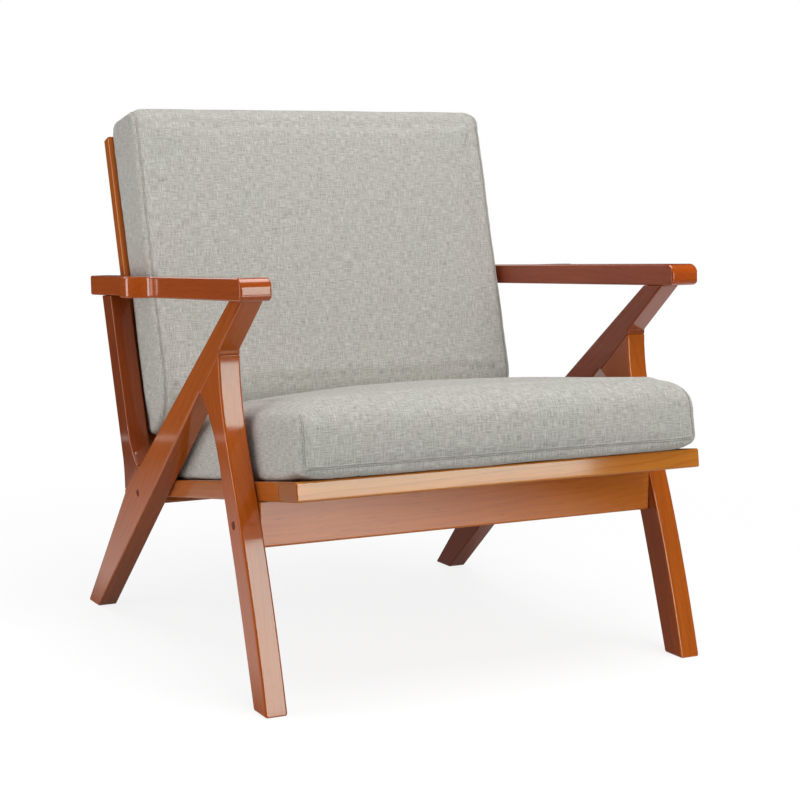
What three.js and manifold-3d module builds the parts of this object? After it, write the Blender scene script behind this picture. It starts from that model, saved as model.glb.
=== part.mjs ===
// Fireside chair: two Z-shaped side frames, a slatted seat frame, a slatted back frame and two loose cushions
// Millimetres, +Z up, the chair faces -Y. Share pairs are shares of the side frame's depth and height.

import * as THREE from 'three';
import { mergeVertices } from 'three/addons/utils/BufferGeometryUtils.js';
import Module from 'manifold-3d';

const wasm = await Module();
wasm.setup();

// Side frames
const frameWidth = 672; // over the outer faces of the two side frames
const frameDepth = 756; // front of the front foot to the back of the rear foot
const frameHeight = 530; // floor to the armrest's underside at its front support
const sideThickness = 31;
const frontFootDepth = 42;
const rearFootDepth = 50;
const edgeRadius = 3; // worked on every long edge of the timber
const jointLip = 4; // the glue joints lie this far outside the edge that they follow
const fitGap = 0.3; // between pieces that are glued, bolted or laid together

const shinFrontShares = [[0.0357, 0.1887], [0.0833, 0.3849], [0.1429, 0.5736]];
const kneeFrontShares = [[0.1726, 0.6679], [0.1951, 0.7642], [0.1944, 0.8674]];
const calfTopShares = [[0.2566, 0.7245], [0.2116, 0.6321], [0.1931, 0.5434]];
const calfFootShares = [[0.1402, 0.3642], [0.0971, 0.1792]];
const diagonalTopShare = [0.1434, 0.9962]; // where the diagonal's back edge meets the armrest
const heelShare = [0.7354, 0.3925]; // where the upright's back edge turns into the rear leg
const heelBendShare = [0.7341, 0.4491];
const uprightFootShare = [0.7434, 0.4943];
const uprightNeckShare = [0.709, 0.6];
const uprightTopShares = [[0.7963, 0.9528], [0.8545, 0.9528]];
const crotchShares = [[0.672, 0.5019], [0.6931, 0.5358]];
const apexAlongShare = 0.1377; // the front leg's back edge meets the diagonal here, knee to rear foot
const crotchAlongShare = 0.848; // the upright's front edge meets the diagonal here, armrest to heel
const memberOverrunShare = 0.2; // the members' outlines run on past the armrest before they are cut

// Armrests
const armThickness = 30;
const armNoseOverhang = 28; // in front of the diagonal
const armRearOverhang = 58; // behind the upright
const armFrontWidth = 43.5;
const armElbowWidth = 68.5;
const armEdgeRadius = 4;
const noseCornerRadius = 9;
const noseTopRadius = 15;
const noseUnderRadius = 8;
const armSwellShares = [0.507, 0.543, 0.579]; // start, middle and end of the outward swell
const armElbowEndShare = 0.619;
const armReturnShares = [0.638, 0.7025];

// Apron
const apronThickness = 30;
const apronFrontShare = 0.1143;
const apronBottomShare = 0.383;

// Seat frame, which falls towards the back
const seatFrontShare = [-0.045, 0.5821]; // top front edge of the front rail
const seatRearShare = [0.6581, 0.4428]; // top middle of the rear rail
const seatRailHeight = 26;
const frontRailDepth = 60;
const sideRailWidth = 45;
const rearRailDepth = 31;
const rearRailHeight = 36;
const seatSlatCount = 6;
const seatSlatWidth = 52;
const seatSlatThickness = 12;
const slatBearing = 16; // length of slat on the side rail's ledge

// Back frame, which leans backwards
const backFootShare = [0.705, 0.4642]; // front face of the posts at the height of the bottom rail's foot
const backTopShare = [0.9177, 1.4147]; // front top edge of the posts
const postWidth = 30;
const postDepth = 24;
const postTail = 36; // below the bottom rail's foot
const backRailHeight = 50;
const backRailThickness = 18;
const backRailDrop = 8; // top rail below the posts' ends
const backRailLift = 10; // bottom rail above the posts' reference foot
const backSlatCount = 4;
const backSlatHeight = 40;
const backSlatThickness = 14;
const tenonLength = 14;
const tenonThickness = 8;
const tenonShoulder = 4;

// Fittings
const looseTenonWidth = 22;
const looseTenonLength = 40;
const looseTenonThickness = 9;
const armTenonLength = 30;
const legTenonShare = 0.45; // place on the joint line, knee to apex
const uprightTenonShare = 0.45; // place on the joint line, crotch to heel
const armDowelRun = 60; // behind the armrest's nose
const dowelRadius = 4;
const dowelSides = 12;
const fitSides = 16;
const boltRadius = 3;
const boltHeadRadius = 4.7;
const boltHeadHeight = 4;
const plugRadius = 5;
const plugDepth = 3.7;
const barrelNutRadius = 5;
const barrelNutLength = 16;
const barrelNutInset = 46; // from the end of the rail
const boltTip = 3; // past the barrel nut
const boreClearance = 0.4;
const apronBoltInset = 17.6; // behind the apron's front face
const backBoltDrop = 8; // lower bolts, below the posts' reference foot
const backBoltHeadRadius = 7;
const backBoltHeadHeight = 2.6;
const insertRadius = 5;
const insertLength = 15;

// Cushions
const cushionSideClearance = 6.5; // to the side frames
const seatCushionOverhang = 13; // in front of the front rail
const seatCushionSetback = 1.6; // in front of the middle of the rear rail
const seatCushionThickness = 100;
const seatCrown = 18;
const seatFrontTopRadius = 36;
const seatFrontUnderRadius = 12;
const seatRearTopRadius = 60;
const seatRearUnderRadius = 12;
const backCushionFoot = 43; // above the posts' reference foot
const backCushionRise = 16; // above the posts' ends
const backCushionFootThickness = 97;
const backCushionTopThickness = 114;
const backCrown = 12;
const backFootRadius = 80;
const backFootRearRadius = 14;
const backTopFrontRadius = 28;
const backTopRearRadius = 24;
const cushionSideRun = 24; // how far the corners' rounding reaches along the width
const cushionSideInset = 9;
const cushionTopInset = 26; // the back cushion's top corners are rounder than its other edges
const cushionDraw = 4; // the sides pull in between the corners
const cushionSidePuff = 2.5;
const cushionArcSteps = 6;
const cushionPointSpacing = 60; // along the straight stretches of a cushion's outline
const cushionCornerSteps = 4;
const cushionSpanSteps = 8;

// Derived sizes
const innerHalf = frameWidth / 2 - sideThickness;
const frameMiddle = (frameWidth - sideThickness) / 2;
const railHalf = innerHalf - fitGap;
const cushionHalf = innerHalf - cushionSideClearance;
const cutReach = frameDepth + frameHeight;
const sides = { left: -1, right: 1 };

// Solids and meshes
function toSolid(geometry) {
  geometry.deleteAttribute('normal');
  geometry.deleteAttribute('uv');
  const merged = mergeVertices(geometry);
  const vertProperties = new Float32Array(merged.attributes.position.array);
  const triVerts = new Uint32Array(merged.index.array);
  return new wasm.Manifold(new wasm.Mesh({ numProp: 3, vertProperties, triVerts }));
}

function toGeometry(solid) {
  const mesh = solid.getMesh();
  const geometry = new THREE.BufferGeometry();
  geometry.setAttribute('position', new THREE.BufferAttribute(new Float32Array(mesh.vertProperties), 3));
  geometry.setIndex(new THREE.BufferAttribute(new Uint32Array(mesh.triVerts), 1));
  geometry.computeVertexNormals();
  return geometry;
}

const cutAll = (solid, cutters) => cutters.reduce((rest, cutter) => rest.subtract(cutter), solid);

// Materials
const finish = (color, roughness, metalness = 0) => () => (
  new THREE.MeshStandardMaterial({ color, roughness, metalness })
);
const timber = finish(0x9c5227, 0.32);
const slatTimber = finish(0xa4602f, 0.4);
const beech = finish(0xcfa878, 0.7);
const steel = finish(0x9a9a98, 0.35, 0.9);
const plugPlastic = finish(0x4a2418, 0.5);
const linen = finish(0xbab8b1, 0.95);

function addPiece(parent, name, geometry, material) {
  const mesh = new THREE.Mesh(geometry, material());
  mesh.name = name;
  parent.add(mesh);
}

// Points and lines of the side view, as Vector2(y, z)
const sidePoint = ([depthShare, heightShare]) => (
  new THREE.Vector2(depthShare * frameDepth, heightShare * frameHeight)
);
const along = (from, to, share) => from.clone().lerp(to, share);
const knee = sidePoint(kneeFrontShares[2]);
const heel = sidePoint(heelShare);
const rearFootFront = new THREE.Vector2(frameDepth - rearFootDepth, 0);
const diagonalTop = sidePoint(diagonalTopShare);
const apex = along(knee, rearFootFront, apexAlongShare);
const crotch = along(diagonalTop, heel, crotchAlongShare);
const [uprightTopFront, uprightTopRear] = uprightTopShares.map(sidePoint);
const diagonalFall = (knee.y - rearFootFront.y) / (rearFootFront.x - knee.x);
const diagonalFront = new THREE.Vector2(knee.x - (frameHeight - knee.y) / diagonalFall, frameHeight);

const armSlope = Math.atan2(diagonalFront.y - uprightTopRear.y, uprightTopRear.x - diagonalFront.x);
const armLength = armNoseOverhang + diagonalFront.distanceTo(uprightTopRear) + armRearOverhang;

// Point of the armrest's underside, measured along the armrest from its nose
const armNose = new THREE.Vector2(
  diagonalFront.x - armNoseOverhang * Math.cos(armSlope),
  diagonalFront.y + armNoseOverhang * Math.sin(armSlope),
);
const armUnder = (run) => new THREE.Vector2(
  armNose.x + run * Math.cos(armSlope),
  armNose.y - run * Math.sin(armSlope),
);

// Everything to the left of the line in the side view, seen with +Y to the right and +Z up
function beyondLine(from, to, offset) {
  const box = new THREE.BoxGeometry(cutReach, cutReach * 2, cutReach);
  box.translate(0, 0, cutReach / 2 + offset);
  box.rotateX(Math.atan2(to.y - from.y, to.x - from.x));
  box.translate(0, from.x, from.y);
  return toSolid(box);
}

// An outline of the side view pushed out along X, centred on the given place
function extrudeAcross(shape, width, middle, options) {
  const geometry = new THREE.ExtrudeGeometry(shape, { bevelEnabled: false, depth: width, ...options });
  geometry.computeBoundingBox();
  const { min, max } = geometry.boundingBox;
  geometry.translate(0, 0, -(min.z + max.z) / 2);
  const toSideView = new THREE.Matrix4().makeBasis(
    new THREE.Vector3(0, 1, 0),
    new THREE.Vector3(0, 0, 1),
    new THREE.Vector3(1, 0, 0),
  );
  geometry.applyMatrix4(toSideView);
  geometry.translate(middle, 0, 0);
  return geometry;
}

const roundedEdges = (radius, steps) => ({
  bevelEnabled: true,
  bevelThickness: radius,
  bevelSize: radius,
  bevelOffset: -radius,
  bevelSegments: steps,
});

// Rectangle with rounded corners between two opposite corners
function roundedRectangle(low, high, radius) {
  const shape = new THREE.Shape();
  shape.moveTo(low.x + radius, low.y);
  shape.lineTo(high.x - radius, low.y);
  shape.absarc(high.x - radius, low.y + radius, radius, -Math.PI / 2, 0);
  shape.lineTo(high.x, high.y - radius);
  shape.absarc(high.x - radius, high.y - radius, radius, 0, Math.PI / 2);
  shape.lineTo(low.x + radius, high.y);
  shape.absarc(low.x + radius, high.y - radius, radius, Math.PI / 2, Math.PI);
  shape.lineTo(low.x, low.y + radius);
  shape.absarc(low.x + radius, low.y + radius, radius, Math.PI, Math.PI * 1.5);
  return shape;
}

const barRounding = { curveSegments: 3 };

// Bar along X with its long edges rounded; low and high are Vector2(y, z)
function crossBar(low, high, length) {
  return toSolid(extrudeAcross(roundedRectangle(low, high, edgeRadius), length, 0, barRounding));
}

// Round rod along X between two places
function crossRod(radius, fromX, toX, y, z, rodSides) {
  const rod = new THREE.CylinderGeometry(radius, radius, Math.abs(toX - fromX), rodSides);
  rod.rotateZ(Math.PI / 2);
  rod.translate((fromX + toX) / 2, y, z);
  return toSolid(rod);
}

// Round rod in the side view, from one Vector2(y, z) to another
function sideRod(radius, x, from, to, rodSides) {
  const rod = new THREE.CylinderGeometry(radius, radius, from.distanceTo(to), rodSides);
  rod.rotateX(Math.atan2(to.y - from.y, to.x - from.x));
  rod.translate(x, (from.x + to.x) / 2, (from.y + to.y) / 2);
  return toSolid(rod);
}

function block(low, high) {
  const size = high.clone().sub(low);
  const middle = high.clone().add(low).multiplyScalar(0.5);
  const box = new THREE.BoxGeometry(size.x, size.y, size.z);
  box.translate(middle.x, middle.y, middle.z);
  return toSolid(box);
}

// Seat plane and back plane
const seatFront = sidePoint(seatFrontShare);
const seatRear = sidePoint(seatRearShare);
const seatSlope = Math.atan2(seatFront.y - seatRear.y, seatRear.x - seatFront.x);
const seatSpan = seatFront.distanceTo(seatRear); // front edge to the middle of the rear rail
const backFoot = sidePoint(backFootShare);
const backTop = sidePoint(backTopShare);
const backLean = Math.atan2(backTop.x - backFoot.x, backTop.y - backFoot.y);
const postHeight = backFoot.distanceTo(backTop);
const seatCushionRear = seatSpan - seatCushionSetback;
const backCushionTop = postHeight + backCushionRise;

// Heights of the bars along the posts
const topRailFoot = postHeight - backRailDrop - backRailHeight;
const barsClear = topRailFoot - backRailLift - backRailHeight;
const backSlatGap = (barsClear - backSlatCount * backSlatHeight) / (backSlatCount + 1);
const lowestSlatFoot = backRailLift + backRailHeight + backSlatGap;

// Points of the seat frame (run backwards, rise square to the seat) and of the back frame (depth, height)
const onSeat = (run, rise) => new THREE.Vector2(
  seatFront.x + run * Math.cos(seatSlope) + rise * Math.sin(seatSlope),
  seatFront.y - run * Math.sin(seatSlope) + rise * Math.cos(seatSlope),
);
const onBack = (depth, height) => new THREE.Vector2(
  backFoot.x + depth * Math.cos(backLean) + height * Math.sin(backLean),
  backFoot.y - depth * Math.sin(backLean) + height * Math.cos(backLean),
);

// Places of the bolts
const rearRailMiddle = new THREE.Vector2(seatSpan, -rearRailHeight / 2);
const apronBolt = new THREE.Vector2(apronFrontShare * frameDepth + apronBoltInset, 0);
const apronBottom = apronBottomShare * frameHeight;
const apronTop = onSeat(0, -seatRailHeight).y - apronBolt.x * Math.tan(seatSlope);
apronBolt.y = (apronBottom + apronTop) / 2 + (seatFront.x * Math.tan(seatSlope)) / 2;
const rearBolt = onSeat(rearRailMiddle.x, rearRailMiddle.y);
const frameBoltPlaces = [apronBolt, rearBolt];
const backBoltHeights = [-backBoltDrop, lowestSlatFoot + backSlatHeight + backSlatGap / 2];
const backBoltPlaces = backBoltHeights.map((height) => onBack(postDepth / 2, height));

// Side frame: one outline worked round as a whole, then parted at its glue joints
function sideFrameOutline() {
  const outline = new THREE.Shape();
  const curveTo = (controls, end) => {
    const [first, second] = controls.map(sidePoint);
    outline.bezierCurveTo(first.x, first.y, second.x, second.y, end.x, end.y);
  };
  const straightTo = (point) => outline.lineTo(point.x, point.y);
  const uprightNeck = sidePoint(uprightNeckShare);
  const uprightFoot = sidePoint(uprightFootShare);
  const heelBend = sidePoint(heelBendShare);
  outline.moveTo(0, 0);
  curveTo(shinFrontShares.slice(0, 2), sidePoint(shinFrontShares[2]));
  curveTo(kneeFrontShares.slice(0, 2), knee);
  straightTo(along(knee, rearFootFront, -memberOverrunShare));
  straightTo(along(diagonalTop, heel, -memberOverrunShare / 2));
  straightTo(crotch);
  curveTo(crotchShares, uprightNeck);
  straightTo(along(uprightNeck, uprightTopFront, 1 + memberOverrunShare));
  straightTo(along(uprightFoot, uprightTopRear, 1 + memberOverrunShare));
  straightTo(uprightFoot);
  outline.quadraticCurveTo(heelBend.x, heelBend.y, heel.x, heel.y);
  outline.lineTo(frameDepth, 0);
  straightTo(rearFootFront);
  straightTo(apex);
  curveTo(calfTopShares.slice(0, 2), sidePoint(calfTopShares[2]));
  curveTo(calfFootShares, new THREE.Vector2(frontFootDepth, 0));
  return outline;
}

const lowerJoint = (offset) => beyondLine(rearFootFront, knee, jointLip + offset);
const upperJoint = (offset) => beyondLine(diagonalTop, heel, jointLip + offset);

// Loose tongue across a glue joint: flat sides, round edges, its length along the given direction
function looseTenon(x, middle, direction, length, fit) {
  const radius = looseTenonThickness / 2 + fit;
  const straight = (looseTenonWidth - looseTenonThickness) / 2;
  const section = new THREE.Shape();
  section.absarc(0, straight, radius, 0, Math.PI);
  section.absarc(0, -straight, radius, Math.PI, Math.PI * 2);
  const tongue = new THREE.ExtrudeGeometry(section, {
    bevelEnabled: false,
    depth: length + 2 * fit,
    curveSegments: 5,
  });
  tongue.translate(0, 0, -length / 2 - fit);
  const toJoint = new THREE.Matrix4().makeBasis(
    new THREE.Vector3(1, 0, 0),
    new THREE.Vector3(0, direction.y, -direction.x),
    new THREE.Vector3(0, direction.x, direction.y),
  );
  tongue.applyMatrix4(toJoint.setPosition(x, middle.x, middle.y));
  return toSolid(tongue);
}

// Unit vector square to a line of the side view, turned to the left of its direction
function squareTo(from, to) {
  const direction = to.clone().sub(from).normalize();
  return new THREE.Vector2(-direction.y, direction.x);
}

// Joint pieces of one side frame, as wide as they are or larger by the fit for their slots
function jointPieces(side, fit) {
  const x = side * frameMiddle;
  const lowerSquare = squareTo(rearFootFront, knee);
  const upperSquare = squareTo(diagonalTop, heel);
  const armSquare = new THREE.Vector2(Math.sin(armSlope), Math.cos(armSlope));
  const legMiddle = along(knee, apex, legTenonShare).addScaledVector(lowerSquare, jointLip);
  const uprightMiddle = along(crotch, heel, uprightTenonShare).addScaledVector(upperSquare, jointLip);
  const armRear = armUnder((along(uprightTopFront, uprightTopRear, 0.5).x - armNose.x) / Math.cos(armSlope));
  const armFront = armUnder(armDowelRun);
  const reach = armTenonLength / 2 + fit;
  return {
    leg_tenon: looseTenon(x, legMiddle, lowerSquare, looseTenonLength, fit),
    upright_tenon: looseTenon(x, uprightMiddle, upperSquare, looseTenonLength, fit),
    arm_tenon: looseTenon(x, armRear, armSquare, armTenonLength, fit),
    arm_dowel: sideRod(
      dowelRadius + fit,
      x,
      armFront.clone().addScaledVector(armSquare, -reach),
      armFront.clone().addScaledVector(armSquare, reach),
      dowelSides,
    ),
  };
}

// Bores through a side frame: plug and bolt head outside, shank through, inserts for the back frame inside
function frameBoltBores(side) {
  const outer = (side * frameWidth) / 2;
  const overrun = side * boreClearance;
  return frameBoltPlaces.flatMap((place) => [
    crossRod(
      plugRadius + boreClearance,
      outer + overrun,
      outer - side * (plugDepth + boltHeadHeight + boreClearance),
      place.x,
      place.y,
      fitSides,
    ),
    crossRod(boltRadius + boreClearance, outer, side * innerHalf - overrun, place.x, place.y, fitSides),
  ]);
}

function insertBores(side) {
  return backBoltPlaces.map((place) => crossRod(
    insertRadius + boreClearance,
    side * (innerHalf - boreClearance),
    side * (innerHalf + insertLength + boreClearance * 2 + boltTip),
    place.x,
    place.y,
    fitSides,
  ));
}

function addSideFrame(parent, sideName) {
  const side = sides[sideName];
  const rounding = { curveSegments: 8, ...roundedEdges(edgeRadius, 3) };
  const depth = sideThickness - 2 * edgeRadius;
  const whole = toSolid(extrudeAcross(sideFrameOutline(), depth, side * frameMiddle, rounding));
  const bored = cutAll(whole, [
    beyondLine(armNose, armUnder(armLength), -fitGap),
    ...Object.values(jointPieces(side, boreClearance)),
    ...frameBoltBores(side),
    ...insertBores(side),
  ]);
  const frontLeg = bored.intersect(lowerJoint(fitGap));
  const upright = bored.intersect(upperJoint(fitGap));
  const rearLeg = cutAll(bored, [lowerJoint(0), upperJoint(0)]);
  addPiece(parent, `front_leg_${sideName}`, toGeometry(frontLeg), timber);
  addPiece(parent, `upright_${sideName}`, toGeometry(upright), timber);
  addPiece(parent, `rear_leg_${sideName}`, toGeometry(rearLeg), timber);
  Object.entries(jointPieces(side, 0)).forEach(([name, solid]) => {
    addPiece(parent, `${name}_${sideName}`, toGeometry(solid), beech);
  });
}

// Armrest: a plan outline with rounded edges, its nose rounded over, laid along the slope
function armPlan(side) {
  const out = (width) => side * (innerHalf + width);
  const [swellStart, swellMiddle, swellEnd] = armSwellShares.map((share) => share * armLength);
  const [returnStart, returnEnd] = armReturnShares.map((share) => share * armLength);
  const elbowEnd = armElbowEndShare * armLength;
  const plan = new THREE.Shape();
  plan.moveTo(out(noseCornerRadius), 0);
  plan.lineTo(out(armFrontWidth - noseCornerRadius), 0);
  plan.quadraticCurveTo(out(armFrontWidth), 0, out(armFrontWidth), noseCornerRadius);
  plan.lineTo(out(armFrontWidth), swellStart);
  plan.bezierCurveTo(
    out(armFrontWidth),
    swellMiddle,
    out(armElbowWidth),
    swellMiddle,
    out(armElbowWidth),
    swellEnd,
  );
  plan.lineTo(out(armElbowWidth), elbowEnd);
  plan.bezierCurveTo(
    out((armFrontWidth + sideThickness) / 2),
    elbowEnd,
    out(sideThickness),
    returnStart,
    out(sideThickness),
    returnEnd,
  );
  plan.lineTo(out(sideThickness), armLength - armEdgeRadius);
  plan.lineTo(out(sideThickness - armEdgeRadius), armLength);
  plan.lineTo(out(armEdgeRadius), armLength);
  plan.lineTo(out(0), armLength - armEdgeRadius);
  plan.lineTo(out(0), noseCornerRadius);
  plan.quadraticCurveTo(out(0), 0, out(noseCornerRadius), 0);
  return plan;
}

// What a rounded-over corner at the nose takes off, above the top face or below the underside
function noseCutter(radius, face, upward) {
  const corner = new THREE.Shape();
  corner.moveTo(-radius, face + upward * radius);
  corner.lineTo(-radius, face - upward * radius);
  corner.lineTo(0, face - upward * radius);
  corner.quadraticCurveTo(0, face, radius, face);
  corner.lineTo(radius, face + upward * radius);
  return toSolid(extrudeAcross(corner, frameWidth * 2, 0, { curveSegments: 5 }));
}

const toArmSlope = new THREE.Matrix4().makeRotationX(-armSlope).setPosition(0, armNose.x, armNose.y);

function addArmrest(parent, sideName) {
  const side = sides[sideName];
  const flat = new THREE.ExtrudeGeometry(armPlan(side), {
    depth: armThickness - 2 * armEdgeRadius,
    curveSegments: 7,
    ...roundedEdges(armEdgeRadius, 3),
  });
  flat.translate(0, 0, armEdgeRadius);
  const nosed = cutAll(toSolid(flat), [
    noseCutter(noseTopRadius, armThickness, 1),
    noseCutter(noseUnderRadius, 0, -1),
  ]);
  const sloped = toGeometry(nosed).applyMatrix4(toArmSlope);
  const bored = cutAll(toSolid(sloped), Object.values(jointPieces(side, boreClearance)));
  addPiece(parent, `armrest_${sideName}`, toGeometry(bored), timber);
}

// Apron between the front legs, planed to the slope of the seat frame that lies on it
function addApron(parent) {
  const front = apronFrontShare * frameDepth;
  const low = new THREE.Vector2(front, apronBottom);
  const high = new THREE.Vector2(front + apronThickness, onSeat(0, 0).y);
  const seatBed = beyondLine(onSeat(0, -seatRailHeight), onSeat(seatSpan, -seatRailHeight), -fitGap);
  const nutTop = apronBolt.y + barrelNutLength / 2 + boreClearance;
  const bores = Object.values(sides).flatMap((side) => [
    crossRod(
      boltRadius + boreClearance,
      side * innerHalf,
      side * (innerHalf - barrelNutInset - barrelNutRadius - boltTip - boreClearance),
      apronBolt.x,
      apronBolt.y,
      fitSides,
    ),
    sideRod(
      barrelNutRadius + boreClearance,
      side * (innerHalf - barrelNutInset),
      new THREE.Vector2(apronBolt.x, apronBottom - boreClearance),
      new THREE.Vector2(apronBolt.x, nutTop),
      fitSides,
    ),
  ]);
  const apron = cutAll(crossBar(low, high, railHalf * 2), [seatBed, ...bores]);
  addPiece(parent, 'front_apron', toGeometry(apron), timber);
}

// Bolt of a side frame: head under the plug, shank through the frame into a barrel nut in the rail
function addFrameBolt(parent, name, side, place, nutDirection) {
  const rod = (radius, fromX, toX) => crossRod(radius, fromX, toX, place.x, place.y, fitSides);
  const outer = (side * frameWidth) / 2;
  const headTop = outer - side * plugDepth;
  const headFoot = headTop - side * boltHeadHeight;
  const nutX = side * (innerHalf - barrelNutInset);
  const tip = nutX - side * (barrelNutRadius + boltTip);
  const half = nutDirection.clone().multiplyScalar(barrelNutLength / 2);
  const nut = sideRod(barrelNutRadius, nutX, place.clone().sub(half), place.clone().add(half), fitSides);
  const thread = rod(boltRadius + fitGap, nutX - barrelNutLength, nutX + barrelNutLength);
  const head = rod(boltHeadRadius, headTop - side * fitGap, headFoot);
  const shank = rod(boltRadius, headFoot + side * fitGap, tip);
  addPiece(parent, `frame_bolt_${name}`, toGeometry(head.add(shank)), steel);
  addPiece(parent, `barrel_nut_${name}`, toGeometry(nut.subtract(thread)), steel);
  addPiece(parent, `bolt_plug_${name}`, toGeometry(rod(plugRadius, outer, headTop)), plugPlastic);
}

function addFrameBolts(parent) {
  const squareToSeat = new THREE.Vector2(Math.sin(seatSlope), Math.cos(seatSlope));
  Object.entries(sides).forEach(([sideName, side]) => {
    addFrameBolt(parent, `front_${sideName}`, side, apronBolt, new THREE.Vector2(0, 1));
    addFrameBolt(parent, `rear_${sideName}`, side, rearBolt, squareToSeat);
  });
}

// Seat frame, in its own sloping axes: Y runs back along the seat, Z is square to it
const rearRailFront = seatSpan - rearRailDepth / 2;
const ledgeDepth = seatSlatThickness + fitGap;

// Tenons at both ends of a side rail, or the mortises for them when they are larger by the fit
function railTenons(side, fit) {
  const inner = side * (railHalf - sideRailWidth + slatBearing + tenonShoulder - fit);
  const outer = side * (railHalf - tenonShoulder + fit);
  const [left, right] = [Math.min(inner, outer), Math.max(inner, outer)];
  const bottom = -tenonShoulder - tenonThickness - fit;
  return block(
    new THREE.Vector3(left, frontRailDepth - tenonLength - fit, bottom),
    new THREE.Vector3(right, rearRailFront + tenonLength + fit, -tenonShoulder + fit),
  );
}

const railMortises = () => Object.values(sides).map((side) => railTenons(side, fitGap));

function addFrontRail(parent) {
  const rail = crossBar(
    new THREE.Vector2(0, -seatRailHeight),
    new THREE.Vector2(frontRailDepth, 0),
    railHalf * 2,
  );
  addPiece(parent, 'seat_front_rail', toGeometry(cutAll(rail, railMortises())), timber);
}

// Side rail with a ledge on its inner side that the slats lie on
function addSideRail(parent, sideName) {
  const side = sides[sideName];
  const outer = side * railHalf;
  const inner = side * (railHalf - sideRailWidth);
  const ledge = side * (railHalf - sideRailWidth + slatBearing);
  const section = new THREE.Shape();
  section.moveTo(inner, -seatRailHeight);
  section.lineTo(outer - side * edgeRadius, -seatRailHeight);
  section.quadraticCurveTo(outer, -seatRailHeight, outer, -seatRailHeight + edgeRadius);
  section.lineTo(outer, -edgeRadius);
  section.quadraticCurveTo(outer, 0, outer - side * edgeRadius, 0);
  section.lineTo(ledge, 0);
  section.lineTo(ledge, -ledgeDepth);
  section.lineTo(inner, -ledgeDepth);
  const start = frontRailDepth + fitGap;
  const length = rearRailFront - fitGap - start;
  const rail = new THREE.ExtrudeGeometry(section, { bevelEnabled: false, depth: length, curveSegments: 3 });
  rail.rotateX(Math.PI / 2);
  rail.translate(0, start + length, 0);
  addPiece(parent, `seat_side_rail_${sideName}`, toGeometry(toSolid(rail).add(railTenons(side, 0))), timber);
}

function addSeatSlats(parent) {
  const clear = rearRailFront - frontRailDepth;
  const gap = (clear - seatSlatCount * seatSlatWidth) / (seatSlatCount + 1);
  const halfLength = railHalf - sideRailWidth + slatBearing - fitGap;
  for (let index = 0; index < seatSlatCount; index += 1) {
    const front = frontRailDepth + gap + index * (seatSlatWidth + gap);
    const slat = crossBar(
      new THREE.Vector2(front, -seatSlatThickness),
      new THREE.Vector2(front + seatSlatWidth, 0),
      halfLength * 2,
    );
    addPiece(parent, `seat_slat_${index + 1}`, toGeometry(slat), slatTimber);
  }
}

function addRearRail(parent) {
  const half = rearRailDepth / 2;
  const rail = crossBar(
    new THREE.Vector2(rearRailMiddle.x - half, -rearRailHeight),
    new THREE.Vector2(rearRailMiddle.x + half, 0),
    railHalf * 2,
  );
  const bores = Object.values(sides).flatMap((side) => [
    crossRod(
      boltRadius + boreClearance,
      side * innerHalf,
      side * (innerHalf - barrelNutInset - barrelNutRadius - boltTip - boreClearance),
      rearRailMiddle.x,
      rearRailMiddle.y,
      fitSides,
    ),
    sideRod(
      barrelNutRadius + boreClearance,
      side * (innerHalf - barrelNutInset),
      new THREE.Vector2(rearRailMiddle.x, -rearRailHeight - boreClearance),
      new THREE.Vector2(rearRailMiddle.x, rearRailMiddle.y + barrelNutLength / 2 + boreClearance),
      fitSides,
    ),
  ]);
  addPiece(parent, 'seat_rear_rail', toGeometry(cutAll(rail, [...bores, ...railMortises()])), timber);
}

function addSeatFrame(parent) {
  addFrontRail(parent);
  addSideRail(parent, 'left');
  addSideRail(parent, 'right');
  addSeatSlats(parent);
  addRearRail(parent);
}

// Back frame, in its own leaning axes: Y runs back from the posts' front face, Z up along the posts
function backBars() {
  const slats = Array.from({ length: backSlatCount }, (_, index) => ({
    name: `back_slat_${index + 1}`,
    foot: lowestSlatFoot + index * (backSlatHeight + backSlatGap),
    height: backSlatHeight,
    thickness: backSlatThickness,
  }));
  const rail = { height: backRailHeight, thickness: backRailThickness };
  return [
    { name: 'back_bottom_rail', foot: backRailLift, ...rail },
    ...slats,
    { name: 'back_top_rail', foot: topRailFoot, ...rail },
  ];
}

const postInner = railHalf - postWidth;

// Tenon through both ends of a bar, or the mortises for it when it is made larger by the fit
function tenonBlock(bar, fit) {
  const halfLength = postInner + tenonLength + fit;
  const front = (bar.thickness - tenonThickness) / 2 - fit;
  const top = bar.foot + bar.height - tenonShoulder + fit;
  return block(
    new THREE.Vector3(-halfLength, front, bar.foot + tenonShoulder - fit),
    new THREE.Vector3(halfLength, front + tenonThickness + 2 * fit, top),
  );
}

function addPost(parent, sideName) {
  const side = sides[sideName];
  const section = roundedRectangle(
    new THREE.Vector2(Math.min(side * railHalf, side * postInner), 0),
    new THREE.Vector2(Math.max(side * railHalf, side * postInner), postDepth),
    edgeRadius,
  );
  const post = new THREE.ExtrudeGeometry(section, {
    bevelEnabled: false,
    depth: postHeight + postTail,
    ...barRounding,
  });
  post.translate(0, 0, -postTail);
  const bores = backBoltHeights.map((height) => crossRod(
    boltRadius + boreClearance,
    side * (postInner - boreClearance),
    side * innerHalf,
    postDepth / 2,
    height,
    fitSides,
  ));
  const mortises = backBars().map((bar) => tenonBlock(bar, fitGap));
  const bored = cutAll(toSolid(post), [...bores, ...mortises]);
  addPiece(parent, `back_post_${sideName}`, toGeometry(bored), timber);
}

function addBackBars(parent) {
  backBars().forEach((bar) => {
    const body = crossBar(
      new THREE.Vector2(0, bar.foot),
      new THREE.Vector2(bar.thickness, bar.foot + bar.height),
      (postInner - fitGap) * 2,
    );
    addPiece(parent, bar.name, toGeometry(body.add(tenonBlock(bar, 0))), slatTimber);
  });
}

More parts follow.
